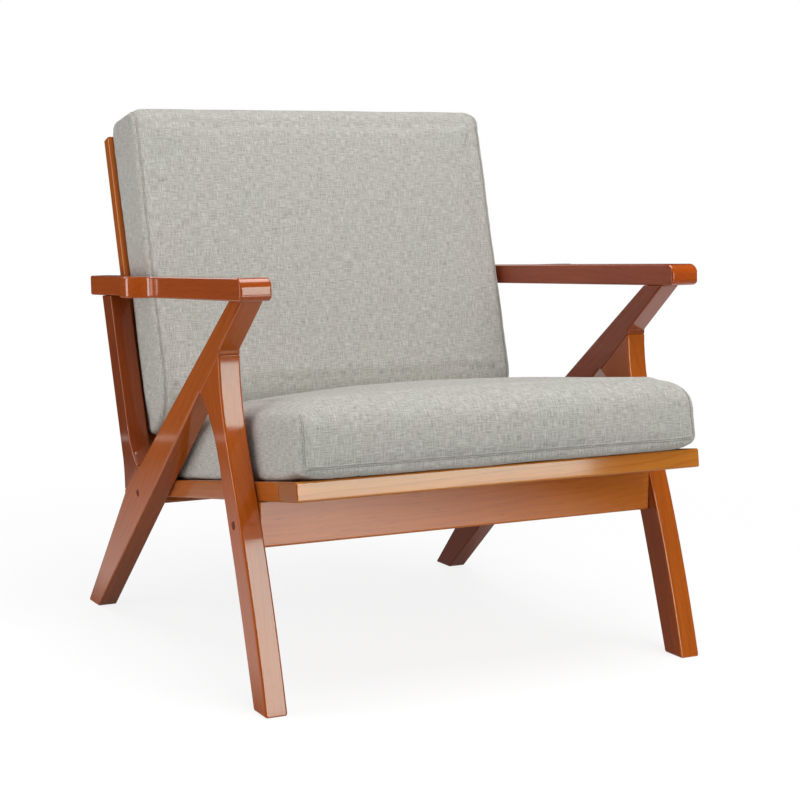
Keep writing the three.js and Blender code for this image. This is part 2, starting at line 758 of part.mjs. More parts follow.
// Bolts that hold the posts to the side frames, and the threaded inserts that they turn into
function addBackBolt(parent, name, side, height) {
  const rod = (radius, fromX, toX) => crossRod(radius, fromX, toX, postDepth / 2, height, fitSides);
  const face = side * (postInner - fitGap);
  const tip = side * (innerHalf + insertLength + boltTip);
  const head = rod(backBoltHeadRadius, face, face - side * backBoltHeadHeight);
  const shank = rod(boltRadius, face - side * fitGap, tip);
  const sleeve = rod(insertRadius, side * (innerHalf + fitGap), side * (innerHalf + fitGap + insertLength));
  const thread = rod(boltRadius + fitGap, side * innerHalf, tip);
  addPiece(parent, `back_bolt_${name}`, toGeometry(head.add(shank)), steel);
  addPiece(parent, `threaded_insert_${name}`, toGeometry(sleeve.subtract(thread)), steel);
}

function addBackBolts(parent) {
  const [lower, upper] = backBoltHeights;
  Object.entries(sides).forEach(([sideName, side]) => {
    addBackBolt(parent, `lower_${sideName}`, side, lower);
    addBackBolt(parent, `upper_${sideName}`, side, upper);
  });
}

function addBackFrame(parent) {
  addPost(parent, 'left');
  addPost(parent, 'right');
  addBackBars(parent);
  addBackBolts(parent);
}

// Cushions: a side outline carried across the width, softer at the corners, crowned and drawn in
// Quarter round of an outline that runs anticlockwise, where quarter counts from the right-hand one
function roundCorner(outline, x, y, radius, quarter) {
  const start = (quarter * Math.PI) / 2;
  outline.absarc(x, y, radius, start, start + Math.PI / 2);
}

function seatCushionOutline() {
  const front = -seatCushionOverhang;
  const rear = seatCushionRear;
  const foot = fitGap;
  const top = foot + seatCushionThickness;
  const outline = new THREE.Shape();
  outline.moveTo(front + seatFrontUnderRadius, foot);
  outline.lineTo(rear - seatRearUnderRadius, foot);
  roundCorner(outline, rear - seatRearUnderRadius, foot + seatRearUnderRadius, seatRearUnderRadius, -1);
  roundCorner(outline, rear - seatRearTopRadius, top - seatRearTopRadius, seatRearTopRadius, 0);
  roundCorner(outline, front + seatFrontTopRadius, top - seatFrontTopRadius, seatFrontTopRadius, 1);
  roundCorner(outline, front + seatFrontUnderRadius, foot + seatFrontUnderRadius, seatFrontUnderRadius, 2);
  return outline;
}

function backCushionOutline() {
  const outline = new THREE.Shape();
  const rear = -fitGap;
  const foot = backCushionFoot;
  const top = backCushionTop;
  const footFront = -backCushionFootThickness;
  const topFront = -backCushionTopThickness;
  outline.moveTo(rear, foot + backFootRearRadius);
  outline.lineTo(rear, top - backTopRearRadius);
  roundCorner(outline, rear - backTopRearRadius, top - backTopRearRadius, backTopRearRadius, 0);
  roundCorner(outline, topFront + backTopFrontRadius, top - backTopFrontRadius, backTopFrontRadius, 1);
  roundCorner(outline, footFront + backFootRadius, foot + backFootRadius, backFootRadius, 2);
  roundCorner(outline, rear - backFootRearRadius, foot + backFootRearRadius, backFootRearRadius, -1);
  return outline;
}

// Ring places along the width: [x, how far the corner's rounding has gone, 0 to 1]
function cushionRings() {
  const straight = cushionHalf - cushionSideRun;
  const corner = Array.from({ length: cushionCornerSteps }, (_, step) => {
    const turn = ((step + 1) / cushionCornerSteps) * (Math.PI / 2);
    return [straight + cushionSideRun * Math.sin(turn), 1 - Math.cos(turn)];
  });
  const span = Array.from({ length: cushionSpanSteps + 1 }, (_, step) => (
    [straight * ((2 * step) / cushionSpanSteps - 1), 0]
  ));
  const mirrored = corner.map(([x, turn]) => [-x, turn]).reverse();
  return [...mirrored, ...span, ...corner];
}

// The outline and the crown are the cushion's own; insetOf gives how far a point goes in at the side
function cushionGeometry(outline, insetOf, crownOf) {
  const stretches = outline.curves.filter((curve) => curve.getLength() > fitGap);
  const points = stretches.flatMap((curve) => {
    const straightSteps = Math.ceil(curve.getLength() / cushionPointSpacing);
    return curve.getPoints(curve.isLineCurve ? straightSteps : cushionArcSteps).slice(0, -1);
  });
  const count = points.length;
  const box = new THREE.Box2().setFromPoints(points);
  const middle = box.getCenter(new THREE.Vector2());
  const half = box.getSize(new THREE.Vector2()).multiplyScalar(0.5);
  const inward = points.map((_, index) => {
    const before = points[(index + count - 1) % count];
    const after = points[(index + 1) % count];
    return after.clone().sub(before).normalize().rotateAround(new THREE.Vector2(), Math.PI / 2);
  });
  const rings = cushionRings();
  const place = (x, turn, index) => {
    const point = points[index].clone().addScaledVector(inward[index], insetOf(points[index]) * turn);
    const share = point.clone().sub(middle).divide(half);
    const across = 1 - (x / cushionHalf) ** 2;
    const longest = half.x > half.y ? share.x : share.y;
    const drawn = x * (1 - (cushionDraw / cushionHalf) * (1 - longest ** 2));
    const lift = crownOf(share).multiplyScalar(across);
    return [drawn, point.x + lift.x, point.y + lift.y];
  };
  const positions = rings.flatMap(([x, turn]) => points.flatMap((_, index) => place(x, turn, index)));
  const puff = (x) => x + Math.sign(x) * (cushionSidePuff - cushionDraw);
  const capLeft = rings.length * count;
  const capRight = capLeft + 1;
  positions.push(puff(-cushionHalf), middle.x, middle.y, puff(cushionHalf), middle.x, middle.y);
  const faces = [];
  for (let ring = 0; ring < rings.length - 1; ring += 1) {
    for (let index = 0; index < count; index += 1) {
      const next = (index + 1) % count;
      const [a, b] = [ring * count + index, ring * count + next];
      faces.push(a, b, a + count, b, b + count, a + count);
    }
  }
  for (let index = 0; index < count; index += 1) {
    const next = (index + 1) % count;
    const last = (rings.length - 1) * count;
    faces.push(capLeft, next, index, capRight, last + index, last + next);
  }
  const geometry = new THREE.BufferGeometry();
  geometry.setAttribute('position', new THREE.Float32BufferAttribute(positions, 3));
  geometry.setIndex(faces);
  geometry.computeVertexNormals();
  return geometry;
}

function addSeatCushion(parent) {
  const crownOf = (share) => {
    const top = Math.max(share.y, 0);
    const front = Math.max(-share.x, 0) ** 6;
    return new THREE.Vector2(
      -(seatCrown / 3) * front * (1 - share.y ** 2),
      seatCrown * top * (1 - share.x ** 2),
    );
  };
  const geometry = cushionGeometry(seatCushionOutline(), () => cushionSideInset, crownOf);
  addPiece(parent, 'seat_cushion', geometry, linen);
}

function addBackCushion(parent) {
  const crownOf = (share) => new THREE.Vector2(
    -backCrown * Math.max(-share.x, 0) * Math.max(1 - share.y ** 2, 0),
    0,
  );
  const topStart = backCushionTop - backTopFrontRadius;
  const insetOf = (point) => (point.y > topStart ? cushionTopInset : cushionSideInset);
  const geometry = cushionGeometry(backCushionOutline(), insetOf, crownOf);
  addPiece(parent, 'back_cushion', geometry, linen);
}

// The chair, with its origin on the floor under the middle of its box
const chair = new THREE.Group();
addSideFrame(chair, 'left');
addSideFrame(chair, 'right');
addArmrest(chair, 'left');
addArmrest(chair, 'right');
addApron(chair);
addFrameBolts(chair);

const seatAxes = new THREE.Group();
seatAxes.position.set(0, seatFront.x, seatFront.y);
seatAxes.rotation.x = -seatSlope;
addSeatFrame(seatAxes);
addSeatCushion(seatAxes);
chair.add(seatAxes);

const backAxes = new THREE.Group();
backAxes.position.set(0, backFoot.x, backFoot.y);
backAxes.rotation.x = -backLean;
addBackFrame(backAxes);
addBackCushion(backAxes);
chair.add(backAxes);

const bounds = new THREE.Box3().setFromObject(chair, true);
const centre = bounds.getCenter(new THREE.Vector3());
chair.position.set(-centre.x, -centre.y, -bounds.min.z);
chair.updateMatrixWorld(true);

export default chair;
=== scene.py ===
"""Fireside chair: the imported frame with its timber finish, and padded cushions over the CAD cushions."""

import math

import bmesh
import bpy
import numpy as np
from mathutils import Matrix, Vector, noise
from mathutils.bvhtree import BVHTree
from mathutils.kdtree import KDTree


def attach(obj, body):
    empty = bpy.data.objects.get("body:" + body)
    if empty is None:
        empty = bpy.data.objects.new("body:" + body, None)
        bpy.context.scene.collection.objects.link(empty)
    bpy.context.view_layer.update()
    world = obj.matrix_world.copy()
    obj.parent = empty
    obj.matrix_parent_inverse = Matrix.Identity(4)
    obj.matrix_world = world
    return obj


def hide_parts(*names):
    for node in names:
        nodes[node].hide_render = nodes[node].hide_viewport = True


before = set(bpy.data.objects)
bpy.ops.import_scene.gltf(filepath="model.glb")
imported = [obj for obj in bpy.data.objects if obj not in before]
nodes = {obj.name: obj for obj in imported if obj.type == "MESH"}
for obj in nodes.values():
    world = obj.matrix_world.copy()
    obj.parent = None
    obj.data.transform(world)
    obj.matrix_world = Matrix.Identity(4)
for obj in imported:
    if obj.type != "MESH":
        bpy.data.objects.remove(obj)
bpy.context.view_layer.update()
scene = bpy.context.scene

# Places taken over from the CAD, in metres
SEAT_ORIGIN = Vector((0, -0.388163, 0.308513))
SEAT_SLOPE = math.radians(7.907533)
BACK_ORIGIN = Vector((0, 0.178837, 0.246026))
BACK_LEAN = math.radians(17.703022)
CUSHION_HALF = 0.3018
seat_axes = Matrix.Translation(SEAT_ORIGIN) @ Matrix.Rotation(-SEAT_SLOPE, 4, "X")
back_axes = Matrix.Translation(BACK_ORIGIN) @ Matrix.Rotation(-BACK_LEAN, 4, "X")


# Camera, fitted to the photo
CAMERA_PLACE = (-1.2087, -2.4900, 0.6907)
TURN_PITCH_ROLL = (26.53, 6.97, -0.29)
CAMERA_LENS = 83.5155
SENSOR_WIDTH = 36


def make_camera():
    turn, pitch, roll = (math.radians(angle) for angle in TURN_PITCH_ROLL)
    forward = Vector((math.sin(turn) * math.cos(pitch), math.cos(turn) * math.cos(pitch), -math.sin(pitch)))
    right = Vector((math.cos(turn), -math.sin(turn), 0))
    up = right.cross(forward)
    tilted_right = right * math.cos(roll) + up * math.sin(roll)
    tilted_up = up * math.cos(roll) - right * math.sin(roll)
    data = bpy.data.cameras.new("camera")
    data.lens = CAMERA_LENS
    data.sensor_width = SENSOR_WIDTH
    camera = add_object("camera", data)
    turned = Matrix((tilted_right, tilted_up, -forward)).transposed().to_4x4()
    camera.matrix_world = Matrix.Translation(CAMERA_PLACE) @ turned
    scene.camera = camera


# Shader node helpers
def new_material(name):
    material = bpy.data.materials.new(name)
    material.use_nodes = True
    tree = material.node_tree
    tree.nodes.clear()
    return material, tree


def feed(tree, socket, value):
    """Links the value to the socket, or sets it there where it is a constant."""
    if isinstance(value, bpy.types.NodeSocket):
        tree.links.new(value, socket)
    else:
        socket.default_value = value


def add(tree, kind, **settings):
    """A node of that kind. Names of its properties set them, 'in_' names set its inputs."""
    node = tree.nodes.new(kind)
    for key, value in settings.items():
        if key.startswith("in_"):
            slot = key[3:]
            slot = int(slot) if slot.isdigit() else slot.replace("_", " ")
            feed(tree, node.inputs[slot], value)
        else:
            setattr(node, key, value)
    return node


def maths(tree, operation, *values, clamp=False):
    node = add(tree, "ShaderNodeMath", operation=operation, use_clamp=clamp)
    for index, value in enumerate(values):
        feed(tree, node.inputs[index], value)
    return node.outputs[0]


def weighed_sum(tree, *parts):
    """Sum of the values, each times its weight."""
    total = maths(tree, "MULTIPLY", *parts[0])
    for part in parts[1:]:
        total = maths(tree, "ADD", total, maths(tree, "MULTIPLY", *part))
    return total


def rising(tree, value, low, span):
    """0 up to low, 1 from low + span on."""
    return maths(tree, "DIVIDE", maths(tree, "SUBTRACT", value, low), span, clamp=True)


def falling(tree, value, high, span):
    """0 from high on, 1 up to high - span."""
    return maths(tree, "DIVIDE", maths(tree, "SUBTRACT", high, value), span, clamp=True)


def ramp(tree, value, stops):
    node = add(tree, "ShaderNodeValToRGB", in_Fac=value)
    elements = node.color_ramp.elements
    while len(elements) < len(stops):
        elements.new(0.5)
    for element, (place, colour) in zip(elements, stops):
        element.position = place
        element.color = colour
    return node.outputs["Color"]


def grey(level):
    return (level, level, level, 1)


def mix_colour(tree, factor, first, second, blend="MIX"):
    node = add(tree, "ShaderNodeMix", data_type="RGBA", blend_type=blend)
    for index, value in ((0, factor), (6, first), (7, second)):
        feed(tree, node.inputs[index], value)
    return node.outputs[2]


def object_place(tree):
    return add(tree, "ShaderNodeTexCoord").outputs["Object"]


def scaled(tree, vector, scale):
    return add(tree, "ShaderNodeVectorMath", operation="MULTIPLY", in_0=vector, in_1=scale).outputs["Vector"]


def noise_value(tree, place, size, detail, roughness=0.5):
    return add(tree, "ShaderNodeTexNoise", in_Vector=place, in_Scale=size, in_Detail=detail,
               in_Roughness=roughness).outputs["Fac"]


def bumped(tree, strength, distance, height):
    return add(tree, "ShaderNodeBump", in_Strength=strength, in_Distance=distance,
               in_Height=height).outputs["Normal"]


def principled(tree, **settings):
    """The surface of the material, from the settings of its shader."""
    shader = add(tree, "ShaderNodeBsdfPrincipled", **settings)
    add(tree, "ShaderNodeOutputMaterial", in_Surface=shader.outputs["BSDF"])


def mottled_material(name, size, detail, first, second, **settings):
    """Plain material with a fine mottle between two sRGB colours."""
    material, tree = new_material(name)
    mottle = noise_value(tree, object_place(tree), size, detail)
    colour = ramp(tree, mottle, [(0.3, srgb(*first)), (0.7, srgb(*second))])
    principled(tree, in_Base_Color=colour, **settings)
    return material


def srgb(red, green, blue):
    """Scene colour of an sRGB colour given as 0 to 255."""
    def linear(value):
        share = value / 255
        return share / 12.92 if share <= 0.04045 else ((share + 0.055) / 1.055) ** 2.4
    return (linear(red), linear(green), linear(blue), 1.0)


# Mesh helpers
def add_object(name, data):
    piece = bpy.data.objects.new(name, data)
    scene.collection.objects.link(piece)
    return piece


def plain_mesh(name, verts, faces):
    mesh = bpy.data.meshes.new(name)
    mesh.from_pydata([tuple(v) for v in verts], [], faces)
    return mesh


def solid_mesh(name, verts, faces):
    """Closed mesh whose faces all look outwards."""
    mesh = plain_mesh(name, verts, faces)
    mesh.validate()
    bm = bmesh.new()
    bm.from_mesh(mesh)
    bmesh.ops.recalc_face_normals(bm, faces=bm.faces)
    bm.to_mesh(mesh)
    bm.free()
    return mesh


def tube_faces(rings, count, base=0):
    """Faces of a closed tube of rings with so many points each, and its two ends."""
    faces = []
    for ring in range(rings - 1):
        for index in range(count):
            a, b = base + ring * count + index, base + ring * count + (index + 1) % count
            faces.append((a, b, b + count, a + count))
    faces.append(tuple(base + index for index in reversed(range(count))))
    faces.append(tuple(base + (rings - 1) * count + index for index in range(count)))
    return faces


def unit(vectors):
    return vectors / np.linalg.norm(vectors, axis=1)[:, None]


def modify(piece, name, kind, **settings):
    """Gives the piece a modifier with those settings."""
    modifier = piece.modifiers.new(name, kind)
    for key, value in settings.items():
        setattr(modifier, key, value)
    return modifier


def remade(piece, name, kind, **settings):
    """Gives the piece the mesh that a modifier makes of its own."""
    modify(piece, name, kind, **settings)
    depsgraph = bpy.context.evaluated_depsgraph_get()
    depsgraph.update()
    made = bpy.data.meshes.new_from_object(piece.evaluated_get(depsgraph))
    piece.modifiers.clear()
    old = piece.data
    piece.data = made
    bpy.data.meshes.remove(old)


def vertex_values(mesh, field):
    values = np.empty(len(mesh.vertices) * 3)
    mesh.vertices.foreach_get(field, values)
    return values.reshape(-1, 3)


def coordinates(mesh):
    return vertex_values(mesh, "co")


def set_coordinates(mesh, values):
    mesh.vertices.foreach_set("co", np.ascontiguousarray(values, dtype=float).ravel())
    mesh.update()


# Timber
SEED_SHIFT = (0.731, 0.417, 0.293)
PITH_LEAN = 0.045
RINGS_PER_METRE = 120.0
RING_CONTRAST = 0.20
STRONG_CONTRAST = {"seat_front_rail": 0.36}
FLECKS = 0.38
STRONG_FLECKS = {"front_apron": 0.55}
PORE_SHADE = 0.45
# Tint that darkens faces by which way they look: painted shade on the side frames' inner faces, and a darker
# tone on the front rail's end faces.
FACING_DARK_TINT = (0.64, 0.54, 0.62, 1)


def pith_distance(tree, place, seed):
    """Distance from the pith line, which leans a little and lies elsewhere in each piece."""
    split = add(tree, "ShaderNodeSeparateXYZ", in_Vector=place)
    lean = maths(tree, "MULTIPLY", split.outputs["X"], PITH_LEAN)
    aside = maths(tree, "ADD", split.outputs["Y"], maths(tree, "ADD", lean, 0.03 + 0.013 * (seed % 5)))
    below = maths(tree, "ADD", split.outputs["Z"], 0.02 + 0.017 * (seed % 3))
    squares = [maths(tree, "POWER", value, 2.0) for value in (aside, below)]
    return maths(tree, "SQRT", maths(tree, "ADD", *squares))


def darkened_by_facing(tree, colour, inner):
    """The colour darkened by which way a face looks: painted shade on the faces that look inwards, and a
    darker tone on end faces.
    """
    facing = add(tree, "ShaderNodeNewGeometry").outputs["Normal"]
    across = add(tree, "ShaderNodeSeparateXYZ", in_Vector=facing).outputs["X"]
    if inner == "ends":
        turned = maths(tree, "ADD", maths(tree, "ABSOLUTE", across), 0.15)
    else:
        turned = maths(tree, "MULTIPLY", across, inner)
    share = rising(tree, turned, 0.6, 0.25)
    return mix_colour(tree, share, colour, mix_colour(tree, 1.0, colour, FACING_DARK_TINT, "MULTIPLY"))


def wood_material(name, along, seed, light, dark, inner):
    """Stained and lacquered timber whose grain runs along the given direction.

    inner is -1 or 1 on the side frames, whose faces that look inwards get painted shade, and "ends" on
    a rail, whose end faces are made darker.
    """
    material, tree = new_material(name)
    turn = Vector(along).normalized().to_track_quat("X", "Z").inverted().to_euler()
    turned = add(tree, "ShaderNodeMapping", in_Vector=object_place(tree), in_Rotation=turn).outputs["Vector"]
    shifted = add(tree, "ShaderNodeVectorMath", operation="ADD", in_0=turned,
                  in_1=tuple(seed * step for step in SEED_SHIFT)).outputs["Vector"]

    def stretched(scale, detail, size=1.0, roughness=0.55):
        """Noise with one scale along the grain and two across it."""
        return noise_value(tree, scaled(tree, shifted, scale), size, detail, roughness)

    wander = stretched((1.6, 1.0, 1.0), 2.0, 1.3)
    wavy = stretched((2.5, 14.0, 14.0), 3.0)
    fibres = stretched((6.0, 260.0, 260.0), 4.0, roughness=0.65)
    pores = stretched((30.0, 640.0, 640.0), 2.0)
    blotch = stretched((1.0, 3.0, 3.0), 2.0, 5.5)
    distance = pith_distance(tree, turned, seed)
    rings = weighed_sum(tree, (distance, RINGS_PER_METRE), (wander, 7.0), (wavy, 1.1))
    late = ramp(tree, maths(tree, "FRACT", rings),
                [(0.0, grey(0.1)), (0.62, grey(0.28)), (0.9, grey(1.0)), (1.0, grey(0.1))])
    pore = ramp(tree, pores, [(0.0, grey(1)), (0.29, grey(1)), (0.36, grey(0)), (1.0, grey(0))])

    contrast = STRONG_CONTRAST.get(name, RING_CONTRAST)
    tone = weighed_sum(tree, (late, contrast), (fibres, 0.62), (blotch, 0.6))
    tone = maths(tree, "SUBTRACT", tone, 0.27, clamp=True)
    shade = tuple(part * PORE_SHADE for part in dark[:3]) + (1.0,)
    flecks = maths(tree, "MULTIPLY", pore, STRONG_FLECKS.get(name, FLECKS))
    colour = mix_colour(tree, flecks, mix_colour(tree, tone, light, dark), shade)
    # Painted shade on the side frames' inner faces, and darker end faces on the front rail.
    if inner:
        colour = darkened_by_facing(tree, colour, inner)

    bump = bumped(tree, 0.12, 0.0004, weighed_sum(tree, (fibres, 0.5), (pore, -0.8)))
    coat_bump = bumped(tree, 0.05, 0.0006, stretched((3.0, 30.0, 30.0), 2.0))
    rough = maths(tree, "ADD", maths(tree, "MULTIPLY", fibres, 0.12), 0.42)
    principled(tree, in_Base_Color=colour, in_Roughness=rough, in_Normal=bump, in_Specular_IOR_Level=0.04,
               in_Coat_Weight=1.0, in_Coat_Roughness=0.08, in_Coat_Normal=coat_bump)
    return material


def bare_wood_material():
    return mottled_material("beech", 420.0, 3.0, (188, 150, 108), (222, 190, 150), in_Roughness=0.7)


def plug_material():
    return mottled_material("plug", 900.0, 2.0, (92, 32, 24), (124, 48, 34), in_Roughness=0.6,
                            in_Specular_IOR_Level=0.2)


def steel_material():
    material, tree = new_material("zinc_steel")
    cells = add(tree, "ShaderNodeTexVoronoi", in_Vector=object_place(tree), in_Scale=700.0)
    spangle = cells.outputs["Distance"]
    colour = ramp(tree, spangle, [(0.0, (0.42, 0.42, 0.40, 1)), (0.6, (0.58, 0.58, 0.55, 1))])
    rough = maths(tree, "ADD", maths(tree, "MULTIPLY", spangle, 0.15), 0.30)
    principled(tree, in_Base_Color=colour, in_Roughness=rough, in_Metallic=1.0)
    return material


MERGE_REACH = 0.00002
FLAT_WITHIN = math.radians(0.6)
SHARP_FROM = math.radians(38)
ARRIS = 0.0018
SLIM_ARRIS = 0.0006


def smoothing_group():
    """Geometry nodes that weld the CAD facets together and shade them smooth."""
    group = bpy.data.node_groups.new("join_facets", "GeometryNodeTree")
    group.interface.new_socket("Geometry", in_out="INPUT", socket_type="NodeSocketGeometry")
    group.interface.new_socket("Geometry", in_out="OUTPUT", socket_type="NodeSocketGeometry")
    start = group.nodes.new("NodeGroupInput")
    merge = add(group, "GeometryNodeMergeByDistance", in_Geometry=start.outputs[0], in_Distance=MERGE_REACH)
    smooth = add(group, "GeometryNodeSetShadeSmooth", in_Geometry=merge.outputs["Geometry"])
    end = group.nodes.new("NodeGroupOutput")
    group.links.new(smooth.outputs["Geometry"], end.inputs[0])
    return group


def round_over(node, group, arris):
    """Modifiers that make a faceted CAD node smooth, with small rounded arrises."""
    modify(node, "join", "NODES", node_group=group)
    modify(node, "flatten", "DECIMATE", decimate_type="DISSOLVE", angle_limit=FLAT_WITHIN)
    modify(node, "arris", "BEVEL", width=arris, segments=3, use_clamp_overlap=False, limit_method="ANGLE",
           angle_limit=SHARP_FROM, miter_outer="MITER_ARC")
    modify(node, "weigh", "WEIGHTED_NORMAL", keep_sharp=True, weight=100)


SEAT_RUN = (0, math.cos(SEAT_SLOPE), -math.sin(SEAT_SLOPE))
BACK_RISE = (0, math.sin(BACK_LEAN), math.cos(BACK_LEAN))
LEG_RISE = (0, 0.31, 0.95)
DIAGONAL_RUN = (0, 0.79, -0.61)
UPRIGHT_RISE = (0, 0.335, 0.942)
ARM_RUN = (0, 0.999, -0.043)
CROSS_PIECES = ("front_apron", "seat_front_rail", "seat_rear_rail", "seat_slat", "back_slat",
                "back_top_rail", "back_bottom_rail")
GRAIN = {
    "front_leg": LEG_RISE, "rear_leg": DIAGONAL_RUN, "upright": UPRIGHT_RISE, "armrest": ARM_RUN,
    "seat_side_rail": SEAT_RUN, "back_post": BACK_RISE, **dict.fromkeys(CROSS_PIECES, (1, 0, 0)),
}
# Stain colours by piece, light and dark. Some of them also carry painted shading.
STAIN_AND_PAINTED_SHADING = {
    "front_leg_left": ((192, 94, 22), (152, 66, 12)),
    "front_leg_right": ((206, 106, 22), (164, 74, 13)),
    "rear_leg_left": ((192, 98, 28), (152, 67, 16)),
    # The right diagonal's stain is darkened to paint the shade on its inward face.
    "rear_leg_right": ((172, 78, 22), (134, 54, 15)),
    # The upright's stain is darkened to paint the shade of the armrest over it.
    "upright": ((150, 68, 22), (116, 47, 15)),
    "armrest_left": ((184, 86, 20), (148, 60, 13)),
    "armrest_right": ((196, 88, 20), (154, 60, 13)),
    "seat_front_rail": ((216, 136, 44), (178, 98, 25)),
    # The apron's colour is its stain, brightened to paint light that the rail above shades from it.
    "front_apron": ((230, 134, 40), (190, 94, 22)),
    "back_post": ((206, 112, 34), (158, 76, 22)),
}
USUAL_STAIN = ((190, 106, 40), (154, 76, 24))
SIDE_FRAME = ("front_leg", "rear_leg", "upright", "armrest")


def finish_timber():
    """Rounds the arrises of every solid but the cushions, and gives each its material."""
    group = smoothing_group()
    beech, steel, plug = bare_wood_material(), steel_material(), plug_material()
    for index, name in enumerate(sorted(nodes)):
        if name.endswith("_cushion"):
            continue
        kind = next((kind for kind in GRAIN if name.startswith(kind)), None)
        joiner = "tenon" in name or "dowel" in name
        slim = kind is None or joiner or "slat" in name or "back_" in name
        round_over(nodes[name], group, SLIM_ARRIS if slim else ARRIS)
        if kind:
            light, dark = (srgb(*colour) for colour in STAIN_AND_PAINTED_SHADING.get(name, STAIN_AND_PAINTED_SHADING.get(kind, USUAL_STAIN)))
            side = -1 if name.endswith("_right") else 1
            # inner picks the faces that get painted shade on the side frames, and the darker end faces on
            # the front rail.
            inner = side if kind in SIDE_FRAME else "ends" if kind == "seat_front_rail" else 0
            material = wood_material(name, GRAIN[kind], index, light, dark, inner)
        else:
            material = beech if joiner else plug if "plug" in name else steel
        nodes[name].material_slots[0].material = material


# Armrests. Widths and runs are in millimetres, out from the inner edge and back from the nose
ARM_SLOPE = 0.04277320
ARM_NOSE = (-0.320611, 0.531197)
ARM_INNER = 0.305
ARM_LENGTH = 671.03
ARM_THICKNESS = 30
FRONT_WIDTH = 43.5
ELBOW_WIDTH = 68.5
WAIST_WIDTH = 31.0
SWELL_START, SWELL_MIDDLE, SWELL_END = 340.2, 364.4, 388.5
ELBOW_RUN = 408.6
WAIST_START, WAIST_END = 415.7, 471.4
NOSE_CORNER = 3.2
REAR_CORNER = 3.0
ELBOW_ROUND = 7.0
ARM_ARRIS = 3.0
NOSE_ROUND_ABOVE = 15
NOSE_ROUND_BELOW = 9
CORNER_POINTS = 8


def bezier(start, first, second, end, steps):
    points = [np.array(point) for point in (start, first, second, end)]
    shares = [(1 - t) ** 3 * points[0] + 3 * t * (1 - t) ** 2 * points[1]
              + 3 * t * t * (1 - t) * points[2] + t ** 3 * points[3] for t in np.linspace(0, 1, steps + 1)]
    return [tuple(share) for share in shares]


def arm_outline():
    """Outer edge of an armrest in plan, from its nose to its rear: width and run."""
    turns = np.linspace(0, math.pi / 2, CORNER_POINTS)
    nose = [(FRONT_WIDTH - NOSE_CORNER * (1 - math.sin(a)), NOSE_CORNER * (1 - math.cos(a))) for a in turns]
    runs = [4.6, 6.2, 8, 10, 12.5, 15, 18, 24] + list(range(40, 340, 30))
    front = [(FRONT_WIDTH, run) for run in runs]
    swell = bezier((FRONT_WIDTH, SWELL_START), (FRONT_WIDTH, SWELL_MIDDLE), (ELBOW_WIDTH, SWELL_MIDDLE),
                   (ELBOW_WIDTH, SWELL_END), 16)
    elbow = [(ELBOW_WIDTH, 398), (ELBOW_WIDTH, 408)]
    elbow += [(ELBOW_WIDTH - ELBOW_ROUND * (1 - math.cos(a)), ELBOW_RUN + ELBOW_ROUND * math.sin(a))
              for a in turns[1:]]
    waist = bezier((60.5, WAIST_START), (36.5, 417.2), (WAIST_WIDTH, 430.0), (WAIST_WIDTH, WAIST_END), 18)
    rear = [(WAIST_WIDTH, run) for run in range(490, 660, 24)]
    end = [(WAIST_WIDTH - REAR_CORNER * (1 - math.cos(a)), ARM_LENGTH - REAR_CORNER * (1 - math.sin(a)))
           for a in turns]
    return np.array(nose + front + swell + elbow + waist + rear + end)


def arm_section():
    """Points round an armrest's section: share of the width, height and how far the arris is drawn in."""
    turns = np.linspace(0, math.pi / 2, 5)
    arris = [(ARM_ARRIS * (1 - math.cos(a)), ARM_ARRIS * (1 - math.sin(a))) for a in turns]
    levels = arris + [(8, 0), (15, 0), (22, 0)]
    levels += [(ARM_THICKNESS - level, inset) for level, inset in reversed(arris)]
    section = [(1.0, level, inset) for level, inset in levels]
    section += [(share, ARM_THICKNESS, ARM_ARRIS) for share in (0.8, 0.6, 0.4, 0.2)]
    section += [(0.0, level, inset) for level, inset in reversed(levels)]
    section += [(share, 0, ARM_ARRIS) for share in (0.2, 0.4, 0.6, 0.8)]
    return section


def nose_cut(run, radius):
    """What the nose's round of that radius takes off the height at that run."""
    return radius - math.sqrt(max(radius ** 2 - max(radius - run, 0) ** 2, 0))


def arm_mesh(name, side):
    """Lofts the armrest between its outer and inner edges, and rounds its nose over."""
    outer = arm_outline()
    count = len(outer)
    runs = np.maximum.accumulate(outer[:, 1] + np.arange(count) * 1e-4)
    inner = np.column_stack([np.zeros(count), runs])
    inner[:CORNER_POINTS] = [(FRONT_WIDTH - width, run) for width, run in outer[:CORNER_POINTS]]
    inner[-CORNER_POINTS:] = [(WAIST_WIDTH - width, run) for width, run in outer[-CORNER_POINTS:]]
    ahead = unit(np.gradient(outer, axis=0))
    normal = np.column_stack([ahead[:, 1], -ahead[:, 0]])
    keep = 1 - np.clip(-normal[:, 1], 0, 1)
    mirrored = inner[:, 0] > 0
    inner_normal = np.where(mirrored[:, None], normal * (-1, 1), (-1.0, 0.0))
    inner_keep = np.where(mirrored, keep, 1.0)
    section = arm_section()
    verts = []
    for station in range(count):
        for share, level, inset in section:
            far = outer[station] - normal[station] * inset * keep[station]
            near = inner[station] - inner_normal[station] * inset * inner_keep[station]
            out, run = near + (far - near) * share
            over, under = nose_cut(run, NOSE_ROUND_ABOVE), nose_cut(run, NOSE_ROUND_BELOW)
            height = under + level / ARM_THICKNESS * (ARM_THICKNESS - over - under)
            verts.append((
                side * (ARM_INNER + out / 1000),
                ARM_NOSE[0] + (run * math.cos(ARM_SLOPE) + height * math.sin(ARM_SLOPE)) / 1000,
                ARM_NOSE[1] + (height * math.cos(ARM_SLOPE) - run * math.sin(ARM_SLOPE)) / 1000,
            ))
    return solid_mesh(name, verts, tube_faces(count, len(section)))


